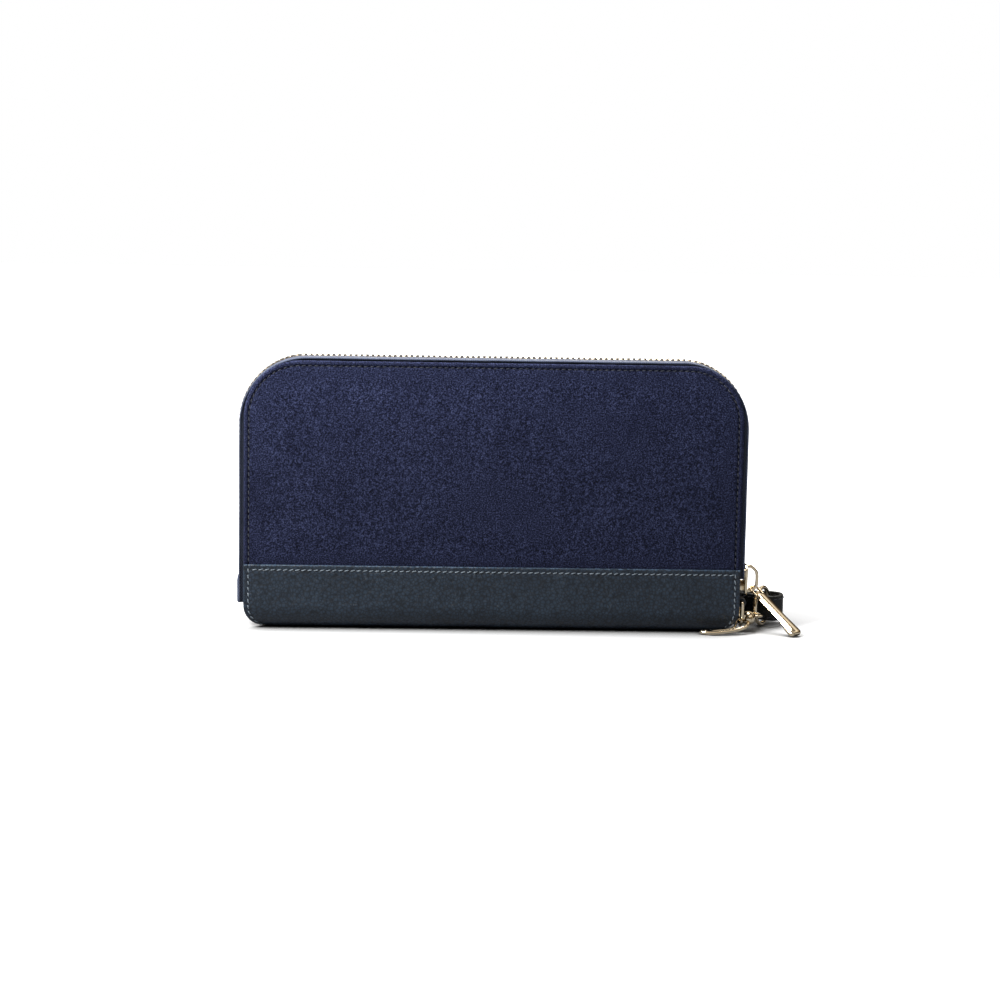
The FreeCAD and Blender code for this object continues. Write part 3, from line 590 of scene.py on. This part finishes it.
def suede_painted_light_and_shade(point):
    """Painted light and shade on the nap: painted shade in the stitched groove and next to the band, painted
    light towards the top, and a painted highlight along the edge.
    """
    depth = depth_inside(point.x, point.z)
    # painted shade in the stitched groove
    value = 1 - 0.75 * bell(depth - EDGE_TO_STITCH, 0.34)
    # painted shade on the suede next to the band
    value -= 0.25 * bell(point.z - BAND_TOP, 1.6)
    # painted light, growing towards the top
    value *= 0.92 + 0.30 * smooth_step(point.z, 0.45 * TOP, TOP)
    # painted highlight along the edge
    return value * (1.0 + 0.35 * bell(depth, 0.35))


def band_painted_light_and_shade(point):
    """Painted highlight along the folded edges, strongest on the top edge, and painted shade on the stitch
    row.
    """
    plain = 3.0  # the colour is even this far in from an edge
    top = min(BAND_TOP - point.z, plain)
    side = min(band_half_width(point.z) - abs(point.x), plain)
    # painted highlight on the folded edges, brightest along the top
    value = 1 + 2.6 * bell(top, 0.30) + 0.8 * bell(side, 0.35)
    # painted shade on the stitch row
    return value * (1 - 0.35 * bell(min(top, side) - EDGE_TO_STITCH, 0.35))


def cover(word, side):
    """One cover's suede panel and the cloth behind it."""
    panel = arch_sheet(f"{word}_suede_cover", side, HALF_DEPTH - SUEDE_THICK, HALF_DEPTH, 0.0, SUEDE_FOOT,
                       suede_profile)
    shade(panel, suede_painted_light_and_shade)
    finish(panel, f"{word}_half", SUEDE, "suede", f"{word}_panel")
    low, high = node_box("rear_lining")

    def ripple(depth, x, z):
        return -0.12 * noise.noise(Vector((x, z, 20 + side)) / 18) * smooth_step(depth, 0, 6)

    # the lining's seen face looks inwards, so its two faces change places
    lining = arch_sheet(f"{word}_cloth_lining", side, high.y, low.y, HALF_WIDTH - high.x, low.z, ripple)
    finish(lining, f"{word}_half", LINING, "lining", f"{word}_lining")


# ---- leather band round the spine

BAND_STRAIGHT = BAND_TOP - SPINE_CORNER
SPINE_ARC = math.pi / 2 * SPINE_CORNER
SPINE_FLAT = 2 * (BAND_OUT - SPINE_CORNER)
BAND_LENGTH = 2 * (BAND_STRAIGHT + SPINE_ARC) + SPINE_FLAT


def band_line(distance):
    """(y, z) and outward normal on the band's outer face, measured from the front top edge."""
    if distance > BAND_LENGTH / 2:
        y, z, out_y, out_z = band_line(BAND_LENGTH - distance)
        return -y, z, -out_y, out_z
    if distance < BAND_STRAIGHT:
        return -BAND_OUT, BAND_TOP - distance, -1.0, 0.0
    distance -= BAND_STRAIGHT
    if distance < SPINE_ARC:
        angle = distance / SPINE_CORNER
        return (SPINE_CORNER - BAND_OUT - SPINE_CORNER * math.cos(angle),
                SPINE_CORNER - SPINE_CORNER * math.sin(angle), -math.cos(angle), -math.sin(angle))
    return SPINE_CORNER - BAND_OUT + distance - SPINE_ARC, 0.0, 0.0, -1.0


def band_half_width(z):
    """The band grows narrower where its lower corners are rounded."""
    if z > END_CORNER:
        return HALF_WIDTH
    return HALF_WIDTH - END_CORNER + math.sqrt(max(0.0, END_CORNER ** 2 - (END_CORNER - z) ** 2))


def edge_lift(depth):
    """Rounded turned edge with the dent of its stitch row."""
    return -rounded_edge(depth, 0.45) - 0.16 * bell(depth - EDGE_TO_STITCH, 0.4)


def rimmed(length, steps):
    """Places along a length: close together near both edges, then evenly spaced."""
    rim = [0, 0.1, 0.25, 0.45, 0.8, 1.3, 1.7, 2.0, 2.3, 2.7, 3.4, 4.5, 6.5]
    start = 8
    middle = [start + i * (length - 2 * start) / steps for i in range(steps + 1)]
    return rim + middle + [length - depth for depth in reversed(rim)]


def leather_band():
    """One folded sheet from the front band, under the spine, to the rear band."""
    thick = BAND_OUT - BAND_IN
    deepest = -0.5  # where two edges meet in a corner
    table = 0.05  # leather lower than this rests on the table
    back_edge = 0.25  # the inner face's edges are eased over this width
    back_drop = 0.2
    outer_rows, inner_rows = [], []
    for distance in rimmed(BAND_LENGTH, 90):
        y, z, out_y, out_z = band_line(distance)
        half = band_half_width(z)
        end_depth = min(distance, BAND_LENGTH - distance)
        outer, inner = [], []
        for depth in rimmed(2 * half, 110):
            x = depth - half
            side_depth = min(depth, 2 * half - depth)
            lift = max(edge_lift(side_depth) + edge_lift(end_depth), deepest)
            soft = smooth_step(min(side_depth, end_depth), 0, 6)
            lift += 0.10 * soft * noise.noise(Vector((x * 0.6, distance, 5)) / 9)
            lift += 0.05 * soft * noise.noise(Vector((x, distance, 8)) / 3.2)
            if z < table:
                lift = min(lift, 0.0)
            outer.append((x, y + out_y * lift, max(z + out_z * lift, 0.02)))
            back = back_drop * max(0.0, 1 - side_depth / back_edge)
            back += back_drop * max(0.0, 1 - end_depth / back_edge)
            inner.append((x, y - out_y * (thick - back), z - out_z * (thick - back)))
        outer_rows.append(outer)
        inner_rows.append(inner)
    band = two_faced("leather_band_wrap", outer_rows, inner_rows)
    shade(band, band_painted_light_and_shade)
    finish(band, None, LEATHER, "leather", "front_band", "rear_band", "spine_leather")
    fold_with_covers(band)


def fold_with_covers(item):
    """A piece that spans both covers has its placement baked into its mesh."""
    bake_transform(item)


# ---- stitching

FINE_THREAD = 0.17


def stitch_mesh(name, places, look, slot, body, length=1.75, radius=0.21, slant=14.0):
    """A row of sewn stitches. Each place is (point, along, outward).

    A stitch dives into the leather at both ends: its rings lie at shares of half its length, and their
    heights and widths are multiples of the thread's radius.
    """
    points, faces = [], []
    sides = 7
    shares = (-1.0, -0.82, -0.45, 0.0, 0.45, 0.82, 1.0)
    heights = (-0.55, 0.1, 0.72, 0.9, 0.72, 0.1, -0.55)
    widths = (0.45, 0.9, 1.05, 1.1, 1.05, 0.9, 0.45)
    for centre, along, outward in places:
        along, outward = Vector(along).normalized(), Vector(outward).normalized()
        turn = Matrix.Rotation(math.radians(slant + random.uniform(-3, 3)), 3, outward)
        along = turn @ along
        across = outward.cross(along)
        start = len(points)
        for share, height, width in zip(shares, heights, widths):
            middle = Vector(centre) + along * (share * length / 2) + outward * (height * radius)
            for index in range(sides):
                angle = 2 * math.pi * index / sides
                spoke = across * math.cos(angle) + outward * math.sin(angle)
                points.append(middle + spoke * radius * width)
        faces += tube_faces(start, sides, len(shares))
    return finish(mesh_object(name, points, faces), body, look, slot)


def spaced(line):
    """Points and headings every stitch along a polyline."""
    places = []
    carry = STITCH_PITCH / 2
    for a, b in zip(line, line[1:]):
        a, b = Vector(a), Vector(b)
        step = (b - a).length
        while carry < step:
            places.append((a + (b - a) * (carry / step), (b - a).normalized()))
            carry += STITCH_PITCH
        carry -= step
    return places


def cover_stitches(word, side):
    """The row round the suede, and the row along the top of the leather band."""
    groove = 0.42  # how deep the suede's thread lies
    dent = 0.1  # how deep the band's thread lies
    gap = 1.2  # the band's row stops this far short of the rows down its ends
    outward = Vector((0, side, 0))
    outline = arch(EDGE_TO_STITCH, BAND_TOP + 0.6, (30, 24, 60))
    line = [(x, side * (HALF_DEPTH - groove), z) for x, z in outline]
    places = [(point, along, outward) for point, along in spaced(line)]
    stitch_mesh(f"{word}_suede_stitches", places, NAVY_THREAD, "suede", f"{word}_half", radius=FINE_THREAD)
    row = [(x, side * (BAND_OUT - dent), BAND_TOP - EDGE_TO_STITCH)
           for x in (EDGE_TO_STITCH + gap - HALF_WIDTH, HALF_WIDTH - EDGE_TO_STITCH - gap)]
    places = [(point, along, outward) for point, along in spaced(row)]
    stitch_mesh(f"{word}_band_stitches", places, PALE_THREAD, "leather", f"{word}_half")


def spine_stitches():
    """The rows down both ends of the band, as far as the flat that the wallet stands on."""
    first = EDGE_TO_STITCH + 0.5
    dent = 0.12
    rows = int((BAND_LENGTH - EDGE_TO_STITCH - first) / STITCH_PITCH) + 1
    for word, sign in ENDS.items():
        places = []
        for index in range(rows):
            distance = first + index * STITCH_PITCH
            y, z, out_y, out_z = band_line(distance)
            if z < 0.5:
                continue
            after_y, after_z, _, _ = band_line(distance + 0.2)
            x = sign * (band_half_width(z) - EDGE_TO_STITCH)
            after_x = sign * (band_half_width(after_z) - EDGE_TO_STITCH)
            outward = Vector((0, out_y, out_z))
            along = Vector((after_x - x, after_y - y, after_z - z))
            places.append((Vector((x, y, z)) - outward * dent, along, outward))
        row = stitch_mesh(f"{word}_spine_stitches", places, PALE_THREAD, "leather", None)
        fold_with_covers(row)


# ---- zip tapes

def tape_section(side, doubled, taper):
    """(outward, y) pairs of the tape: a corded edge at the teeth, a wall and a seam allowance."""
    thick = (TAPE_THICK / 2 + doubled) * taper
    back = -TAPE_THICK / 2
    cord = TAPE_LOW.y
    wall = TAPE_HIGH.y
    middle = (cord + wall) / 2
    seam = 9.6  # depth at which the allowance turns in between cover and lining
    half_seam = 0.28
    inward = -5.8
    seen = [(thick, cord), (thick + 0.12, cord + 0.35), (thick, cord + 1.0), (thick + 0.05, cord + 3),
            (thick + 0.10, middle), (thick, wall - 1.2), (thick - 0.1, wall)]
    allowance = [(back, seam + half_seam), (inward, seam + half_seam), (inward, seam - half_seam),
                 (back, seam - half_seam)]
    hidden = [(back, middle), (back, cord + 1), (back - 0.1, cord + 0.35), (back, cord)]
    return [(out, side * y) for out, y in seen + [(back, wall)] + allowance + hidden]


def zip_tape(word, side):
    """One tape round the wallet's edge, doubled where it is folded at its left foot."""
    outline = arch(0, 0, (60, 40, 120), ZIP_HALF, ZIP_TOP, ZIP_CORNER)
    left_foot = TAPE_LOW.z
    line = [(x, z) for x, z in outline if z > (left_foot if x < 0 else TAPE_RIGHT_FOOT) + 0.4]
    line = [(-ZIP_HALF, left_foot), (-ZIP_HALF, left_foot + 0.3)] + line + [(ZIP_HALF, TAPE_RIGHT_FOOT)]
    rows = []
    for index, (x, z) in enumerate(line):
        before = line[max(index - 1, 0)]
        after = line[min(index + 1, len(line) - 1)]
        along = Vector((after[0] - before[0], 0, after[1] - before[1])).normalized()
        out = Vector((-along.z, 0, along.x))
        near_end = z - left_foot if x < 0 else math.inf
        doubled = 0.7 * (1 - smooth_step(near_end, 9, 12))
        taper = 0.35 + 0.65 * smooth_step(near_end, -0.1, 0.9)
        ripple = 0.10 * noise.noise(Vector((x, z, 40 * side)) / 11)
        rows.append([Vector((x, y, z)) + out * (a + ripple) for a, y in tape_section(side, doubled, taper)])
    tape = tube(f"{word}_woven_tape", rows)
    finish(tape, f"{word}_half", TAPE, "tape", f"{word}_zip_tape")


# ---- slider and pull

def slider():
    """Cast slider: two waisted plates joined by the wedge, with the D-shaped bridge on its face."""
    low, high = node_box("zip_slider")
    half = high.y
    thick = 1.2
    sunk = 1.1  # the wedge and lips reach a little way into the plates
    lip_edge = 1.75
    waist = low.z + 7
    outline = [(-half * 0.72, low.z), (half * 0.72, low.z), (half * 0.80, low.z + 4), (half, waist),
               (half, high.z - 1.6), (half * 0.55, high.z), (-half * 0.55, high.z), (-half, high.z - 1.6),
               (-half, waist), (-half * 0.80, low.z + 4)]
    wedge = [(-0.9, low.z + 1), (0.9, low.z + 1), (0.5, low.z + 5), (-0.5, low.z + 5)]
    plates = [
        plate("slider_face_plate", outline, high.x - thick, high.x, 0.3),
        plate("slider_back_plate", outline, low.x, low.x + thick, 0.3),
        plate("slider_wedge", wedge, low.x + sunk, high.x - sunk, 0.1),
    ]
    for sign in (-1, 1):
        lip = [(sign * (half - 1.1), waist), (sign * half, waist), (sign * half, high.z - 1.8),
               (sign * (half - 1.1), high.z - 1.2)]
        plates.append(plate(f"slider_lip_{sign + 1}", lip, high.x - lip_edge, high.x - sunk, 0.12))
        plates.append(plate(f"slider_foot_{sign + 1}", lip, low.x + sunk, low.x + lip_edge, 0.12))
    for item in plates:
        finish(item, "slider", GOLD, "metal", "zip_slider")
    low, high = node_box("slider_bridge")
    middle = (low.z + high.z) / 2
    bow = [(low.x - 0.4, low.z + 0.7), (low.x + 1.7, low.z + 0.7), (high.x - 1.0, low.z + 2.1),
           (high.x - 0.5, middle - 1.6), (high.x - 0.5, middle + 1.6), (high.x - 1.1, high.z - 2.3),
           (low.x + 1.6, high.z - 0.7), (low.x - 0.4, high.z - 0.7)]
    path = catmull([(x, 0, z) for x, z in bow], steps=7)
    section = rounded_box(0.62, high.y * 1.3, 0.35, 4)
    bridge = sweep("slider_bow", path, section, up=Vector((0, 1, 0)))
    finish(bridge, "slider", GOLD, "metal", "slider_bridge")


PULL_LENGTH = 29.0
PULL_HALF_WIDTH = 2.5
PULL_PITCH = 32.5  # degrees that the hanging pull points below level
PULL_SHIFT = 1.1  # the pull sits this far off centre along its hinge pin
PULL_BAR_START = 4.9  # where the eye ends and the bar begins


def pull_place():
    """A function that puts (length, width, height) on the pull into place, and the way its face looks."""
    origin, pin = joint("zip_pull_hinge")
    level = Vector((pin.y, -pin.x, 0))
    pitch = math.radians(PULL_PITCH)
    along = level * math.cos(pitch) - UPWARD * math.sin(pitch)
    face = along.cross(pin)

    def place(length, width, height):
        return origin + along * length + pin * (width + PULL_SHIFT) + face * height

    return place, face


def pull_section(share):
    """(width, height) pairs of the bar at a share of its length: grooved sides and a thicker end."""
    tip_start, tip_share = 0.955, 0.045
    corner = 0.32
    tip = math.sqrt(max(0.0, 1 - ((share - tip_start) / tip_share) ** 2)) if share > tip_start else 1.0
    root = smooth_step(share, -0.01, 0.03)
    half = PULL_HALF_WIDTH * (0.90 - 0.10 * smooth_step(share, 0, 0.4) + 0.16 * smooth_step(share, 0.55, 0.9))
    half *= 0.55 + 0.45 * min(root, max(tip, 0.02))
    closing = min(root, max(tip, 0.05))
    above = (0.92 + 0.1 * share) * closing
    below = (0.92 + 0.9 * smooth_step(share, 0.62, 0.88) - 0.35 * smooth_step(share, 0.9, 1)) * closing
    groove = 0.34 * smooth_step(share, 0.02, 0.06) * (1 - smooth_step(share, 0.93, 0.98))
    right = [(half - corner, above), (half, above - corner), (half, 0.22), (half - groove, 0.12),
             (half - groove, -0.12), (half, -0.22), (half, corner - below), (half - corner, -below)]
    return right + [(-width, height) for width, height in reversed(right)]


def zip_pull():
    """A slim grooved bar that hangs from the slider's bridge by a bent wire eye."""
    place, face = pull_place()
    overlap = 0.7  # the bar takes in the ends of the eye
    stations = [0, 0.012, 0.03, 0.06, 0.15, 0.3, 0.45, 0.6, 0.72, 0.82, 0.9, 0.955, 0.985, 1.0]
    rows = []
    for share in stations:
        length = PULL_BAR_START - overlap + (PULL_LENGTH - PULL_BAR_START + overlap) * share
        rows.append([place(length, width, height) for width, height in pull_section(share)])
    finish(tube("zip_pull_plate", rows), "pull", GOLD, "metal", "zip_pull")
    wide = PULL_HALF_WIDTH * 0.9
    right = [(PULL_BAR_START + 0.6, wide), (PULL_BAR_START - 1.4, wide), (1.0, wide), (0.3, wide - 0.25),
             (0, wide - 0.9)]
    loop = right + [(0, 0)] + [(length, -width) for length, width in reversed(right)]
    path = catmull([place(length, width, 0) for length, width in loop], steps=5)
    eye = sweep("zip_pull_eye", path, circle(0.5, 12), up=face)
    finish(eye, "pull", GOLD, "metal", "zip_pull")


# ---- wrist strap

def strap_path():
    """The strap's middle line seen from above: round the ring, then flat behind the wallet."""
    low, high = node_box("o_ring")
    ring = (low + high) / 2
    far, _ = joint("strap_swing")
    round_ring = [(ring.x, ring.y), (ring.x + 4.2, ring.y - 2.2), (far.x + 4.0, ring.y + 1.3),
                  (far.x + 4.4, far.y + 0.4), (far.x + 0.6, far.y + 3.8)]
    outer_leg = [(104, 17.8), (97, 17.5), (84, 17.6), (50, 19.8), (0, 22.2), (-33, 22.9)]
    far_bend = [(-35.1, 22.0), (-35.9, 20.0), (-35.1, 18.0)]
    inner_leg = [(-33, 17.1), (0, 16.6), (50, 15.4), (84, 14.9), (97, 14.8), (102.0, 13.6), (105.6, 10.0)]
    line = round_ring + outer_leg + far_bend + inner_leg
    return catmull([(x, y, 0) for x, y in line], closed=True, steps=10)


def wrist_strap():
    """A stitched leather band on edge, bent into a closed loop through the round ring."""
    half_thick = 0.82
    dent = 0.06
    stitch_edge = 1.3
    low, high = node_box("wrist_strap")
    middle = (low.z + high.z) / 2
    half = (high.z - low.z) / 2 - 0.05
    path = [Vector((point.x, point.y, middle)) for point in strap_path()]
    strap = sweep("strap_band", path, rounded_box(half_thick, half, 0.5, 3), closed=True)
    finish(strap, "strap", STRAP_LEATHER, "strap_leather", "wrist_strap")
    count = len(path)
    for name, sign in (("upper", 1), ("lower", -1)):
        places = []
        for face_sign in (-1, 1):
            ring = []
            for index, point in enumerate(path):
                along = (path[(index + 1) % count] - path[index - 1]).normalized()
                outward = along.cross(UPWARD) * (half_thick - dent) * face_sign
                ring.append(point + outward + Vector((0, 0, sign * (half - stitch_edge))))
            for point, along in spaced(ring + ring[:1]):
                places.append((point, along, along.cross(UPWARD) * face_sign))
        stitch_mesh(f"strap_stitches_{name}", places, NAVY_THREAD, "strap_leather", "strap",
                    radius=FINE_THREAD)


def d_ring_tab():
    """A folded leather tab: two plies that part to pass round the ring's bar."""
    low, high = node_box("d_ring_tab")
    bar, _ = joint("tab_ring_swing")
    ply = 1.05
    outer = high.x - bar.x - ply / 2
    loop = [(low.x + 3, high.z - ply / 2), (bar.x - 2.5, high.z - ply / 2), (bar.x - 0.4, bar.z + outer)]
    loop += [(bar.x + outer * math.sin(a), bar.z + outer * math.cos(a)) for a in (0.5, 1.0, 1.6, 2.2, 2.8)]
    loop += [(bar.x - 1.4, bar.z - 0.9), (bar.x - 2.6, high.z - ply * 1.6), (low.x + 3, high.z - ply * 1.6)]
    half = (high.y - low.y) / 2
    section = rounded_box(ply / 2, half, 0.35, 3)
    path = catmull([(x, bar.y, z) for x, z in loop], steps=4)
    tab = sweep("ring_tab_leather", path, section, up=Vector((0, 1, 0)))
    finish(tab, "rear_half", TAB_LEATHER, "leather", "d_ring_tab")


# ---- inside

def ply_sheet(name, low, high, body, look, slot, replaced, sag=0.0):
    """A flat leather or cloth ply between two corners, with softened edges and a slight bow."""
    centre = (low + high) / 2
    half = (high - low) / 2
    columns, levels = 24, 14
    rim_share = 0.35  # the rim's share of the full thickness
    rim_width = 0.35  # the ply reaches its full thickness this far in
    outer_rows, inner_rows = [], []
    for level in range(levels + 1):
        share_z = math.sin(math.pi * (level / levels - 0.5))
        z = centre.z + share_z * half.z
        outer, inner = [], []
        for column in range(columns + 1):
            share_x = math.sin(math.pi * (column / columns - 0.5))
            x = centre.x + share_x * half.x
            rim = min((1 - abs(share_x)) * half.x, (1 - abs(share_z)) * half.z)
            thick = half.y * (rim_share + (1 - rim_share) * smooth_step(rim, 0, rim_width))
            bow = sag * (1 - share_x ** 2) * (1 - share_z ** 2)
            outer.append((x, centre.y + thick + bow, z))
            inner.append((x, centre.y - thick + bow, z))
        outer_rows.append(outer)
        inner_rows.append(inner)
    finish(two_faced(name, outer_rows, inner_rows), body, look, slot, replaced)


def card_slots(word, side):
    """Stepped rows of card slots in two columns, each with a stitched mouth."""
    rows = 4
    step = 11.0  # each slot's mouth is this much lower than the one behind it
    ply = 0.38
    half_gap = 0.6  # half the gap between the two columns

    def leather(name, low, high, node):
        ply_sheet(f"{word}_{name}", low, high, f"{word}_half", INNER_LEATHER, "inner_leather",
                  f"{word}_{node}")

    leather("card_back", *node_box(f"{word}_card_backing"), "card_backing")
    low, high = node_box(f"{word}_card_slots")
    pitch = ((high.y - low.y) - ply) / (rows - 1)
    stitches = []
    for row in range(rows):
        inner = high.y - ply - row * pitch if side == REAR else low.y + row * pitch
        top = high.z - row * step
        for column, (left, right) in enumerate(((low.x, -half_gap), (half_gap, high.x))):
            leather(f"slot_{row}_{column}", Vector((left, inner, low.z)), Vector((right, inner + ply, top)),
                    "card_slots")
            face_y = inner - 0.02 if side == REAR else inner + ply + 0.02
            line = [(left + 1.5, face_y, top - 1.6), (right - 1.5, face_y, top - 1.6)]
            stitches += [(point, along, Vector((0, -side, 0))) for point, along in spaced(line)]
    stitch_mesh(f"{word}_slot_stitches", stitches, NAVY_THREAD, "inner_leather", f"{word}_half",
                length=1.6, radius=0.13, slant=0)


def coin_pocket():
    """The two cloth walls of the pocket in the middle, bowed slightly apart."""
    for word, side in SIDES.items():
        low, high = node_box(f"coin_pocket_{word}")
        ply_sheet(f"coin_wall_{word}", low, high, "centre_pocket", LINING, "lining", f"coin_pocket_{word}",
                  sag=0.15 * side)


def gusset(word, sign):
    """A cloth side folded in a W between the covers, with rounded folds."""
    low, high = node_box(f"{word}_gusset")
    outer = max(abs(low.x), abs(high.x))
    inner = min(abs(low.x), abs(high.x)) + 0.5
    reach = high.y
    half_thick = 0.22
    levels, steps = 26, 32
    rows = []
    for level in range(levels + 1):
        z = low.z + (high.z - low.z) * level / levels
        slack = 1 - 0.25 * level / levels
        path = []
        for index in range(steps + 1):
            share = index / steps
            wave = 0.5 - 0.5 * math.cos(4 * math.pi * share)
            depth = (outer - inner - 0.6) * wave * slack
            x = outer - 0.4 - depth + 0.25 * noise.noise(Vector((share * 5, z / 14, sign)))
            path.append(Vector((sign * x, reach * (2 * share - 1), z)))
        one_face, other_face = [], []
        for index, point in enumerate(path):
            along = path[min(index + 1, steps)] - path[max(index - 1, 0)]
            offset = Vector((along.y, -along.x, 0)).normalized() * half_thick
            one_face.append(point + offset)
            other_face.append(point - offset)
        rows.append(one_face + other_face[::-1])
    cloth = tube(f"{word}_gusset_cloth", rows)
    finish(cloth, None, LINING, "lining", f"{word}_gusset")
    fold_with_covers(cloth)


# ---- carried-over CAD nodes

def dress_nodes():
    """Materials for the CAD nodes whose shapes are already right."""
    looks = {"metal": GOLD, "board": BOARD, "tape": TAPE, "lining": LINING, "leather": TAB_LEATHER,
             "inner_leather": INNER_LEATHER, "strap_leather": STRAP_LEATHER, "suede": SUEDE}
    slots = {entry["node"]: entry["material_slot"] for entry in frame["record"]["subparts"]}
    for name, item in frame["nodes"].items():
        look = TEETH if "teeth" in name else looks[slots[name]]
        if not item.material_slots:
            item.data.materials.append(look)
        for slot in item.material_slots:
            slot.material = look


# ---- stage

def floor():
    """A pale sweep: lit near the wallet, with a painted contact shadow darkening its colour there, fading
    into pure white away from it.
    """
    reach = 4.0
    fade_start, fade_end = 62, 150
    shadow_reach = 0.014
    bounce = (0.26, 0.27, 0.29, 1)
    data = bpy.data.meshes.new("floor")
    data.from_pydata([(-reach, -reach, 0), (reach, -reach, 0), (reach, reach, 0), (-reach, reach, 0)], [],
                     [(0, 1, 2, 3)])
    item = bpy.data.objects.new("floor", data)
    bpy.context.scene.collection.objects.link(item)
    look = Look("studio_floor", (0.86, 0.86, 0.865), 0.6)
    look.rough(look.ramp(look.noise(0.02, 2), [(0.3, grey(0.55)), (0.7, grey(0.65))]))
    set_inputs(look.mapping, {"Scale": (0.6 / MM, 1 / MM, 1 / MM)})
    away = look.node("ShaderNodeVectorMath")
    away.operation = "LENGTH"
    look.link(look.place, away.inputs[0])
    fade = look.node("ShaderNodeMapRange", From_Min=fade_start, From_Max=fade_end)
    fade.interpolation_type = "SMOOTHSTEP"
    look.link(away.outputs["Value"], fade.inputs["Value"])
    # only the camera sees the bright sweep; light bounced on to the wallet comes from a dimmer one
    seen = look.node("ShaderNodeLightPath").outputs["Is Camera Ray"]
    look.link(look.math("MULTIPLY", fade.outputs["Result"], seen), look.shader.inputs["Emission Strength"])
    # painted contact shadow: the floor's colour darkens where the wallet's parts crowd it
    painted_shadow_occlusion = look.node("ShaderNodeAmbientOcclusion", Distance=shadow_reach)
    painted_shadow_occlusion.samples = 8
    pale = look.ramp(painted_shadow_occlusion.outputs["AO"], [(0.25, grey(0.02)), (0.62, grey(0.5)), (0.95, grey(0.87))])
    look.colour(look.mix(seen, bounce, pale))
    look.set(Emission_Color=(1, 1, 1, 1), Specular_IOR_Level=0.1)
    data.materials.append(look.material)


def area_light(name, place, target, size, power):
    """A rectangular white light turned towards its target."""
    data = bpy.data.lights.new(name, "AREA")
    data.shape = "RECTANGLE"
    data.size, data.size_y = size
    data.energy = power
    item = bpy.data.objects.new(name, data)
    item.location = place
    item.rotation_euler = (Vector(target) - Vector(place)).to_track_quat("-Z", "Y").to_euler()
    bpy.context.scene.collection.objects.link(item)


def studio():
    """White surroundings for the eye, dimmer fill light, and a banded room for what metal reflects."""
    world = bpy.data.worlds.new("studio")
    bpy.context.scene.world = world
    world.use_nodes = True
    tree = world.node_tree
    tree.nodes.clear()
    node = tree.nodes.new
    link = tree.links.new

    def background(strength):
        item = node("ShaderNodeBackground")
        set_inputs(item, {"Color": (1, 1, 1, 1), "Strength": strength})
        return item

    def mixed(share, first, second):
        item = node("ShaderNodeMixShader")
        link(share, item.inputs["Fac"])
        link(first.outputs[0], item.inputs[1])
        link(second.outputs[0], item.inputs[2])
        return item

    white, fill, room = background(1.0), background(0.25), background(1.0)
    ramp = node("ShaderNodeValToRGB")
    # from straight down to straight up: a warm bench, a dark horizon, a bright band and a dim ceiling
    stops = [(0.0, (0.3, 0.26, 0.2)), (0.50, (0.10, 0.07, 0.045)), (0.58, (0.03, 0.02, 0.012)),
             (0.66, (0.16, 0.12, 0.085)), (0.72, (0.45, 0.38, 0.30)), (0.80, (1.15, 1.12, 1.05)),
             (0.87, (0.9, 0.86, 0.8)), (0.92, (0.10, 0.075, 0.055)), (1.0, (0.42, 0.38, 0.34))]
    set_stops(ramp, stops)
    parts = node("ShaderNodeSeparateXYZ")
    link(node("ShaderNodeTexCoord").outputs["Generated"], parts.inputs["Vector"])
    level = node("ShaderNodeMath")
    level.operation = "MULTIPLY_ADD"
    level.inputs[1].default_value = 0.5
    level.inputs[2].default_value = 0.5
    link(parts.outputs["Z"], level.inputs[0])
    link(level.outputs[0], ramp.inputs["Fac"])
    link(ramp.outputs["Color"], room.inputs["Color"])
    path = node("ShaderNodeLightPath")
    unseen = mixed(path.outputs["Is Glossy Ray"], fill, room)
    seen = mixed(path.outputs["Is Camera Ray"], unseen, white)
    link(seen.outputs[0], node("ShaderNodeOutputWorld").inputs["Surface"])
    area_light("key", (-0.33, -0.26, 0.44), (0, 0, 0.06), (0.20, 0.20), 6.2)
    area_light("top", (0.1, 0.35, 1.1), (0, 0, 0), (0.7, 0.5), 11)
    bpy.context.scene.view_settings.view_transform = "Standard"


def camera():
    """A long lens just left of centre and a little above, as in a catalogue shot."""
    azimuth = math.radians(-1.6)
    elevation = math.radians(7.5)
    roll = math.radians(0.95)
    distance = 0.941
    target = Vector((0.0028, 0, 0.0505))
    data = bpy.data.cameras.new("camera")
    data.lens = 85.6
    data.sensor_width = 36.0
    data.clip_end = 20
    item = bpy.data.objects.new("camera", data)
    away = Vector((math.sin(azimuth) * math.cos(elevation), -math.cos(azimuth) * math.cos(elevation),
                   math.sin(elevation)))
    item.location = target + away * distance
    look = (-away).to_track_quat("-Z", "Y").to_matrix()
    item.rotation_euler = (look @ Matrix.Rotation(roll, 3, "Z")).to_euler()
    bpy.context.scene.collection.objects.link(item)
    bpy.context.scene.camera = item


# ---- build

dress_nodes()
for word, side in SIDES.items():
    cover(word, side)
    cover_stitches(word, side)
    zip_tape(word, side)
    card_slots(word, side)
leather_band()
spine_stitches()
slider()
zip_pull()
wrist_strap()
d_ring_tab()
coin_pocket()
for word, sign in ENDS.items():
    gusset(word, sign)
floor()
studio()
camera()
